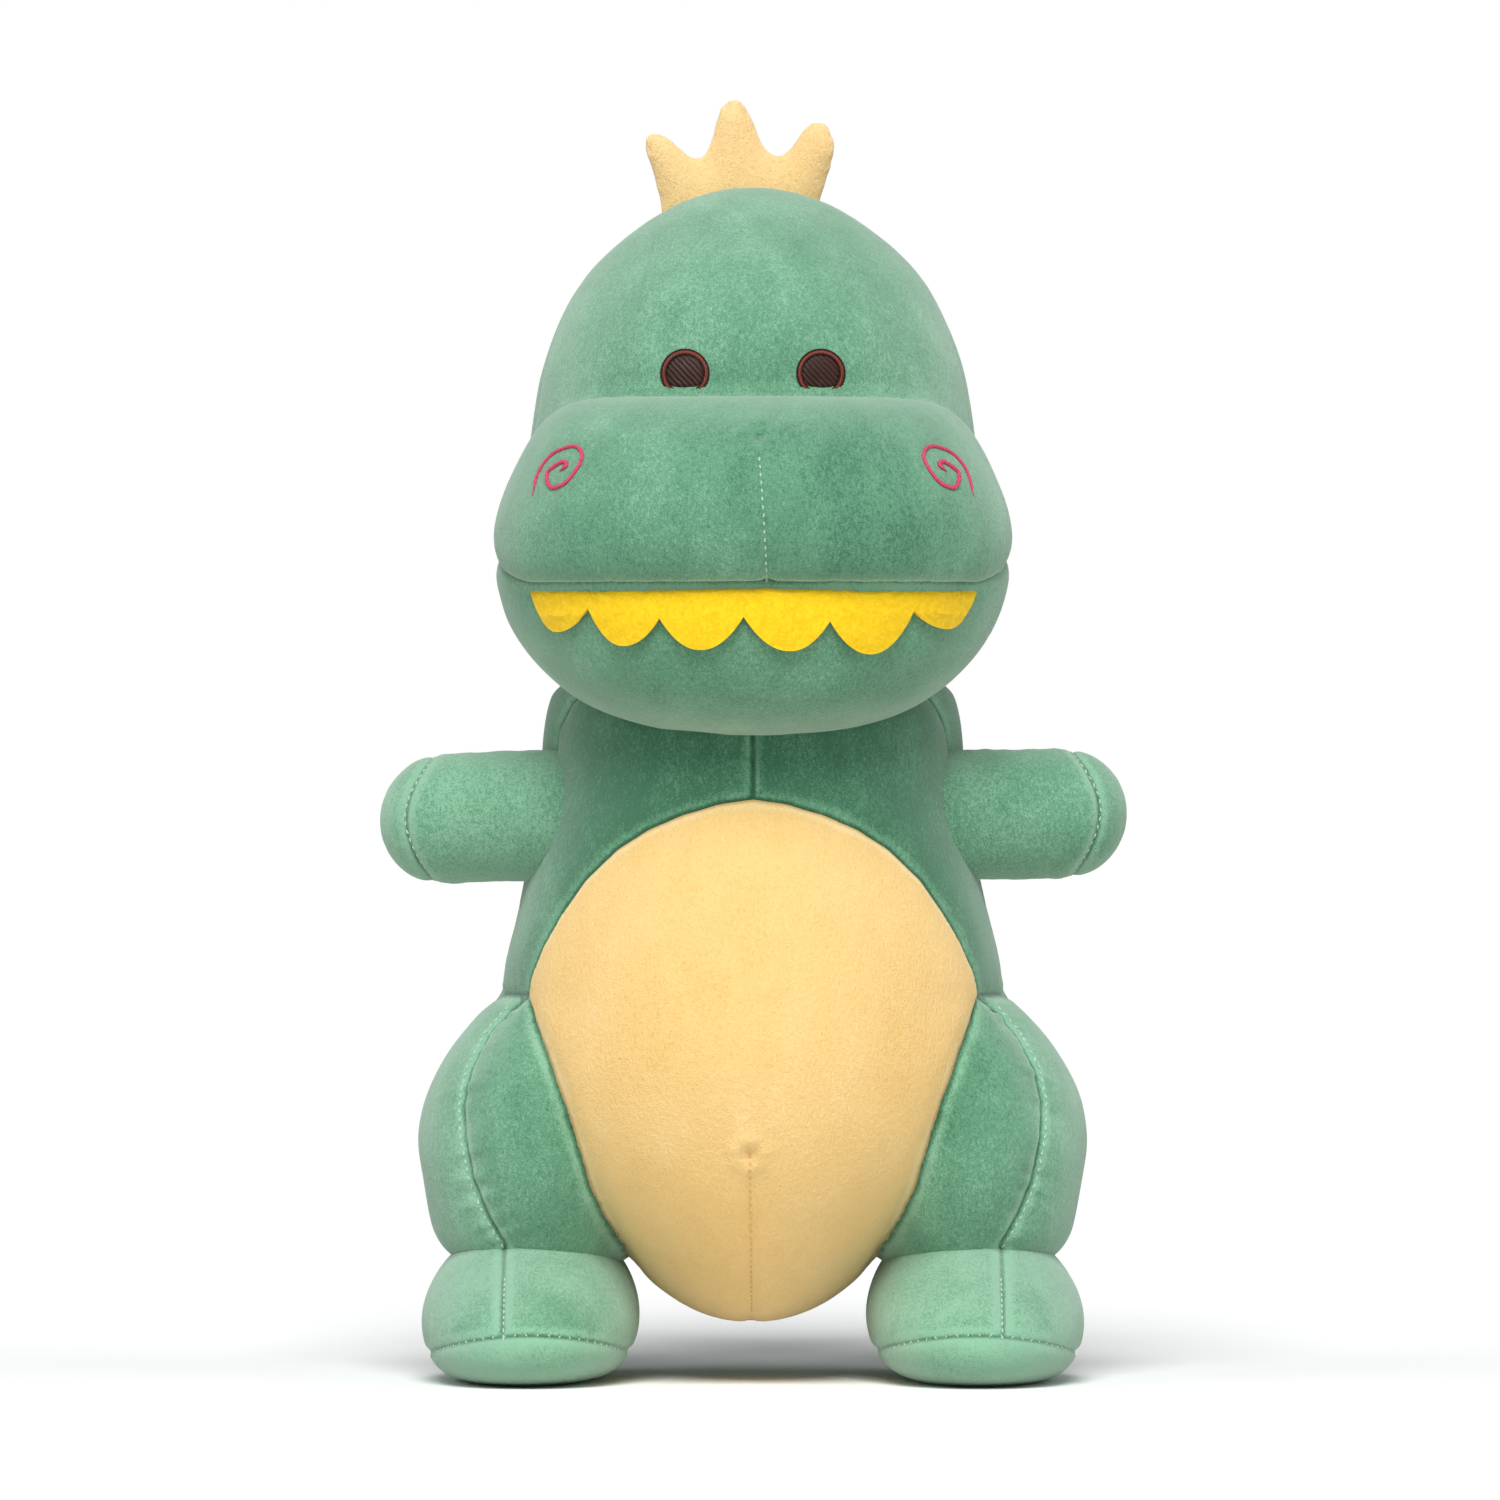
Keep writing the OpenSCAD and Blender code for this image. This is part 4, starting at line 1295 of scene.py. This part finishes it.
def satin_ring(name, x, z, outer, inner, rise, finish, parts=96):
    alone()
    half = (outer - inner) / 2
    bpy.ops.mesh.primitive_torus_add(
        location=(x, 0, z), rotation=(math.pi / 2, 0, 0), major_segments=parts, minor_segments=14,
        major_radius=(outer + inner) / 2, minor_radius=half,
    )
    bpy.ops.object.mode_set(mode="EDIT")
    bpy.ops.mesh.select_all(action="SELECT")
    bpy.ops.transform.resize(value=(1, rise / half, 1), center_override=(x, 0, z))
    bpy.ops.object.mode_set(mode="OBJECT")
    return laid_on(placed(name, finish), head_tree)


def joined(name, pieces):
    alone()
    for piece in pieces:
        piece.select_set(True)
    bpy.context.view_layer.objects.active = pieces[0]
    bpy.ops.object.join()
    made = bpy.context.object
    made.name = made.data.name = name
    return made


for side, s in SIDES:
    x, z = s * EYE[0], EYE[1]
    centre = satin_disc(f"eye_satin_{side}", x, z, 6.5 * MM, 1.0 * MM, eye_brown)
    rim = joined(
        f"eye_rim_{side}",
        [
            satin_ring("rim", x, z, 8.0 * MM, 6.7 * MM, 0.70 * MM, eye_rust),
            satin_ring("line out", x, z, 8.6 * MM, 7.8 * MM, 0.50 * MM, eye_line),
            satin_ring("line in", x, z, 7.0 * MM, 6.3 * MM, 0.75 * MM, eye_line),
        ],
    )
    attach(centre, "head")
    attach(rim, "head")
    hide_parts(f"eye_centre_{side}")
    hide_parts(f"eye_ring_{side}")
print("eyes laid on the head")

# %% [markdown]
# A nostril is one line of satin stitch that curls round on itself and runs out into a tail.

# %% Nostrils
CURL = [
    (-0.0002, -0.0003), (0.0023, 0.0018), (0.0005, 0.0028), (-0.0044, -0.0010), (-0.0030, -0.0059),
    (0.0026, -0.0038), (0.0075, 0.0039), (0.0054, 0.0081), (-0.0009, 0.0067), (-0.0051, 0.0032),
    (-0.0079, -0.0017), (-0.0096, -0.0084),
]


def satin_line(name, points, radii, finish):
    """A round thread through the points, thinner at its ends."""
    curve = bpy.data.curves.new(name, "CURVE")
    curve.dimensions = "3D"
    curve.bevel_depth = 1.0
    curve.bevel_resolution = 4
    curve.use_fill_caps = True
    line = curve.splines.new("POLY")
    line.points.add(len(points) - 1)
    for knot, p, r in zip(line.points, points, radii):
        knot.co = (*p, 1)
        knot.radius = r
    obj = linked(name, curve)
    alone()
    obj.select_set(True)
    bpy.context.view_layer.objects.active = obj
    bpy.ops.object.convert(target="MESH")
    return placed(name, finish)


for side, s in SIDES:
    path = []
    for p in curved([(s * (NOSTRIL[0] - u), NOSTRIL[1] + v) for u, v in CURL], 10):
        hit, normal = from_front(head_tree, p.x, p.y)
        path.append(hit + normal * 0.3 * MM)
    ends = np.linspace(0, 1, len(path))
    radii = (0.80 - 0.25 * ends) * MM * np.clip(np.minimum(ends, 1 - ends) / 0.05, 0.35, 1)
    nostril = satin_line(f"nostril_satin_{side}", path, radii, pink)
    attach(nostril, "head")
    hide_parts(f"nostril_{side}")
print("nostrils laid on the muzzle")

# %% [markdown]
# The teeth are one strip of felt, cut into six scallops and caught in the mouth seam. Its
# lower edge stands a little away from the jaw.

# %% Felt teeth
TOOTH_NOTCHES = [(-0.0765, 0.2755), (-0.0564, 0.2693), (-0.0319, 0.2658), (-0.0032, 0.2662),
                 (0.0263, 0.2648), (0.0550, 0.2683), (0.0770, 0.2755)]
TOOTH_LOWS = [(-0.0669, 0.2613), (-0.0440, 0.2564), (-0.0179, 0.2550), (0.0126, 0.2546),
              (0.0399, 0.2536), (0.0665, 0.2623)]
FELT_TOP = 0.2810
FELT_THICK = 0.0015
TOOTH_ROUND = 2.1        # 1 is a pointed tooth, 2 a round one
FELT_ENDS = (-0.0764, 0.0769)
FELT_TUCK = 0.2742       # above this height the felt turns in towards the mouth seam
UNDER_MOUTH = (0.2665, 0.2695, 0.2725)


def tooth_edge(x):
    for (x0, z0), (x1, z1), (low_x, low_z) in zip(TOOTH_NOTCHES, TOOTH_NOTCHES[1:], TOOTH_LOWS):
        if x0 <= x <= x1:
            u = (x - low_x) / (x0 - low_x if x < low_x else x1 - low_x)
            top = z0 if x < low_x else z1
            return top - (top - low_z) * (1 - min(u, 1) ** TOOTH_ROUND)
    return FELT_TOP


def jaw_front(x, z):
    """The jaw's foremost point just under a height, or under the mouth seam above it."""
    low, middle, high = UNDER_MOUTH
    heights = [z] if z < low else [low, middle, min(z, high)]
    return min(from_front(head_tree, x, height)[0].y for height in heights)


across = {round(x, 5) for x in np.linspace(*FELT_ENDS, 190)}
across = sorted(across | {x for x, _ in TOOTH_NOTCHES[1:-1]})
down = np.linspace(0, 1, 12)
points, faces = [], []
for x in across:
    low = min(tooth_edge(x), FELT_TOP - 0.0012)
    for v in down:
        z = FELT_TOP + (low - FELT_TOP) * v
        away = (1.0 + 1.9 * ((FELT_TOP - z) / 0.024) ** 1.5) * MM - max(z - FELT_TUCK, 0) * 1.4
        points.append((x, jaw_front(x, z) - away, z))
rows = len(down)
for i in range(len(across) - 1):
    for k in range(rows - 1):
        a = i * rows + k
        faces.append((a, a + 1, a + rows + 1, a + rows))
mesh = bpy.data.meshes.new("felt_teeth_strip")
mesh.from_pydata(points, [], faces)
strip = np.array(points).reshape(len(across), rows, 3)
felt_long = np.linalg.norm(np.diff(strip[:, rows // 2], axis=0), axis=1).sum()
felt_deep = np.linalg.norm(np.diff(strip, axis=1), axis=2).sum(1).max()
felt_area = sum(p.area for p in mesh.polygons)
teeth = linked("felt_teeth_strip", mesh)
on_rim = np.tile((down == 1) | (down == 0), len(across)) * 1.0
set_points(mesh, relaxed(points_of(mesh), edges_of(mesh), 2, keep=on_rim))
solid = teeth.modifiers.new("Solidify", "SOLIDIFY")
solid.thickness, solid.offset = FELT_THICK, 0.0
settled(teeth)
outward(teeth.data)
teeth.data.polygons.foreach_set("use_smooth", np.zeros(len(teeth.data.polygons), bool))
teeth.data.materials.append(teeth_felt)
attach(teeth, "head")
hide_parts("felt_teeth")
print(f"felt teeth: {felt_long / MM:.0f} by {felt_deep / MM:.0f} mm, {felt_area * 1e4:.1f} square cm")

# %% [markdown]
# The closing stitches show along some seams as a row of short pale threads. One stitch is a
# small stretched sphere, and it is copied along a line that is laid on the cover.


# %% A row of stitches
def stitch_shape():
    alone()
    bpy.ops.mesh.primitive_uv_sphere_add(segments=8, ring_count=6, radius=1)
    ball = bpy.context.object
    shape = points_of(ball.data), [tuple(f.vertices) for f in ball.data.polygons]
    bpy.data.objects.remove(ball)
    return shape


STITCH_POINTS, STITCH_FACES = stitch_shape()


def stitched(
    name, path, finish, body_name, replaced,
    pitch=2.8, length=1.9, thick=0.42, slant=0.0,
):
    """Stitches along a path of (point, normal) pairs; pitch, length and thick are in mm."""
    points, faces = [], []
    places = spaced([p for p, _ in path], pitch * MM)
    normals = [n for _, n in path]
    at = [p for p, _ in path]
    for i, p in enumerate(places):
        a, b = places[max(i - 1, 0)], places[min(i + 1, len(places) - 1)]
        close = min(range(len(at)), key=lambda j: (at[j] - p).length)
        up = normals[close].normalized()
        along = (b - a).normalized()
        along = (along - up * along.dot(up)).normalized()
        turn = slant * (1 if i % 2 else -1)
        across = up.cross(along)
        along, across = (
            along * math.cos(turn) + across * math.sin(turn),
            across * math.cos(turn) - along * math.sin(turn),
        )
        base = len(points)
        for x, y, z in STITCH_POINTS:
            level = p + along * x * length * MM / 2 + across * y * thick * MM
            points.append(level + up * (z * thick * 0.8 + 0.1) * MM)
        faces.extend(tuple(k + base for k in f) for f in STITCH_FACES)
    mesh = bpy.data.meshes.new(name)
    mesh.from_pydata([tuple(p) for p in points], [], faces)
    mesh.polygons.foreach_set("use_smooth", np.ones(len(faces), bool))
    mesh.materials.append(finish)
    obj = linked(name, mesh)
    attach(obj, body_name)
    if replaced:
        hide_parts(replaced)
    print(f"{name}: {len(places)} stitches")
    return obj


def path_from_front(tree, line, step=0.002):
    out = []
    for p in spaced([(x, z, 0) for x, z in line], step):
        hit, normal = from_front(tree, p.x, p.y)
        if hit is not None:
            out.append((hit, normal))
    return out


def path_inwards(tree, starts):
    out = []
    for start, towards in starts:
        hit, normal = seen_from(tree, start, towards)
        if hit is not None:
            out.append((hit, normal))
    return out


# %% The rows of stitches
for side, s in SIDES:
    line = [(s * x, z) for x, z in THIGH_SEAM[1:-1]]
    stitched(
        f"thigh_stitches_{side}", path_from_front(body_tree, line), pale_thread, "torso",
        f"thigh_seam_thread_{side}", pitch=3.0, length=2.0, thick=0.40, slant=0.25,
    )
    foot_tree = tree_of(feet[side])
    line = [(s * (FOOT_X - 0.0006), z) for z in (0.037, 0.028, 0.018)]
    stitched(
        f"foot_stitches_{side}", path_from_front(foot_tree, line), pale_thread, f"foot_{side}",
        f"foot_seam_thread_{side}", pitch=3.0, length=2.0, thick=0.36,
    )
    starts = []
    for a in np.linspace(0, 2 * math.pi, 97):
        x, y = SOLE_MIDDLE[0] + 0.040 * math.cos(a), SOLE_MIDDLE[1] + 0.066 * math.sin(a)
        height = SOLE_Z - sole_line(np.array([[s * x, y, SOLE_Z]]))[0]
        far_x, far_y = SOLE_MIDDLE[0] + 0.09 * math.cos(a), SOLE_MIDDLE[1] + 0.15 * math.sin(a)
        starts.append(((s * far_x, far_y, height), (-s * 0.050 * math.cos(a), -0.084 * math.sin(a), 0)))
    stitched(
        f"sole_stitches_{side}", path_inwards(foot_tree, starts), pale_thread, f"foot_{side}",
        None, pitch=3.9, length=1.3, thick=0.28, slant=0.9,
    )
    arm_tree = tree_of(arms[side])
    starts = []
    for a in np.linspace(0, 2 * math.pi, 65):
        x = SHOULDER.x + ARM_L + TIP_SEAM - TIP_CURVE * math.sin(a) ** 2
        lift = ARM_TILT[side] * (x - SHOULDER.x)
        y, z = math.cos(a), math.sin(a)
        starts.append(((s * x, SHOULDER.y + 0.06 * y, SHOULDER.z + lift + 0.06 * z), (0, -y, -z)))
    stitched(
        f"arm_tip_stitches_{side}", path_inwards(arm_tree, starts), pale_thread, f"arm_{side}",
        None, pitch=3.0, length=1.8, thick=0.34, slant=0.2,
    )
stitched("muzzle_stitches", path_from_front(head_tree, [(0.0022, 0.320), (0.0035, 0.303), (0.0048, 0.2785)]),
         pale_thread, "head", "muzzle_seam_thread", pitch=2.8, length=1.6, thick=0.36)
stitched("chest_stitches", path_from_front(body_tree, [(0.0028, 0.229), (0.0028, 0.206)]),
         dark_thread, "torso", "chest_seam_thread", pitch=2.8, length=1.7, thick=0.30)
stitched("belly_stitches", path_from_front(tree_of(belly), [(-0.0010, 0.081), (-0.0005, 0.026)]),
         gold_thread, "torso", "belly_dart_thread", pitch=2.6, length=1.6, thick=0.34)

# %% [markdown]
# ## What moves with what
# Each cover stands for the CAD panels and filling that it hides.

# %% Bodies and joints
def pairs(*names):
    return [f"{name}_{side}" for name in names for side, _ in SIDES]


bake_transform(body)
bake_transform(head)
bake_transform(tail)
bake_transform(crest)
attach(belly, "torso")
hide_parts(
    "body_stuffing", "neck_stuffing",
    *pairs("chest_panel", "back_panel", "thigh_panel", "hip_panel"),
)
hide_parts("belly_panel")
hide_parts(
    "head_stuffing", "forehead_panel", "muzzle_panel", "jaw_panel", *pairs("head_back_panel")
)
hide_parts("tail_stuffing", *pairs("tail_panel"))
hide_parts("crest_front_panel", "crest_back_panel", "crest_stuffing")
for side, s in SIDES:
    foot, arm = feet[side], arms[side]
    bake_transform(foot)
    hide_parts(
        *[f"{n}_{side}" for n in ("foot_inner_panel", "foot_outer_panel", "foot_stuffing", "sole")]
    )
    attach(arm, f"arm_{side}")
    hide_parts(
        *[f"{n}_{side}" for n in ("arm_front_panel", "arm_back_panel", "arm_tip_panel")],
        f"arm_stuffing_{side}", f"shoulder_stuffing_{side}",
    )

# %% [markdown]
# ## The studio
# A white floor under a white sky, a wide soft light from above and in front, and a long lens
# at the toy's own height.

# %% Floor, light and camera
bpy.ops.object.select_all(action="DESELECT")
bpy.ops.mesh.primitive_plane_add(size=40, location=(0, 0, 0))
floor = bpy.context.object
floor.name = "floor"
paper, tree, shader = material("white paper")
grain = node(tree, "ShaderNodeTexNoise", Scale=300.0).outputs[0]
white = mixed(tree, grain, (0.95, 0.95, 0.95, 1), (0.98, 0.98, 0.98, 1))
path = node(tree, "ShaderNodeLightPath").outputs["Is Camera Ray"]
tree.links.new(mixed(tree, path, (0.78, 0.77, 0.75, 1), white), shader.inputs["Base Color"])
shader.inputs["Roughness"].default_value = 0.9
shader.inputs["Specular IOR Level"].default_value = 0.1
floor.data.materials.append(paper)

world = bpy.data.worlds.new("white sky")
bpy.context.scene.world = world
world.use_nodes = True
tree = world.node_tree
tree.nodes.clear()
seen = node(tree, "ShaderNodeBackground", Color=(1, 1, 1, 1), Strength=1.0)
lit = node(tree, "ShaderNodeBackground", Color=(0.95, 0.98, 1.0, 1), Strength=0.12)
path = node(tree, "ShaderNodeLightPath").outputs["Is Camera Ray"]
sky = tree.nodes.new("ShaderNodeMixShader")
tree.links.new(path, sky.inputs[0])
tree.links.new(lit.outputs[0], sky.inputs[1])
tree.links.new(seen.outputs[0], sky.inputs[2])
tree.links.new(sky.outputs[0], tree.nodes.new("ShaderNodeOutputWorld").inputs[0])


def sun(name, towards, strength, size):
    """A distant light; towards is the way it shines and size is its width in degrees."""
    lamp = bpy.data.lights.new(name, "SUN")
    lamp.energy, lamp.angle = strength, math.radians(size)
    linked(name, lamp).rotation_euler = Vector(towards).to_track_quat("-Z", "Y").to_euler()


sun("soft top light", (0.04, 0.84, -1.0), 3.2, 34)
sun("front light", (-0.05, 1.0, -0.06), 0.45, 40)
sun("side light left", (1.0, 0.35, -0.60), 0.60, 40)
sun("side light right", (-1.0, 0.35, -0.60), 0.60, 40)

CAMERA_FAR = 4.5
CAMERA_HIGH = 0.250
CAMERA_X = -0.0010
VIEW = 0.525             # what the lens takes in at the toy
VIEW_MIDDLE = 0.2200
SENSOR = 36.0            # mm
camera = linked("camera", bpy.data.cameras.new("camera"))
camera.location = (CAMERA_X, -CAMERA_FAR, CAMERA_HIGH)
aim = Vector((CAMERA_X, -0.03, VIEW_MIDDLE)) - camera.location
camera.rotation_euler = aim.to_track_quat("-Z", "Y").to_euler()
camera.data.sensor_width = SENSOR
camera.data.lens = SENSOR * aim.length / VIEW
camera.data.clip_end = 60
bpy.context.scene.camera = camera
bpy.context.scene.view_settings.view_transform = "Standard"

# %% Finish
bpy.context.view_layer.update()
print(f"made in {time.time() - started:.0f} s")
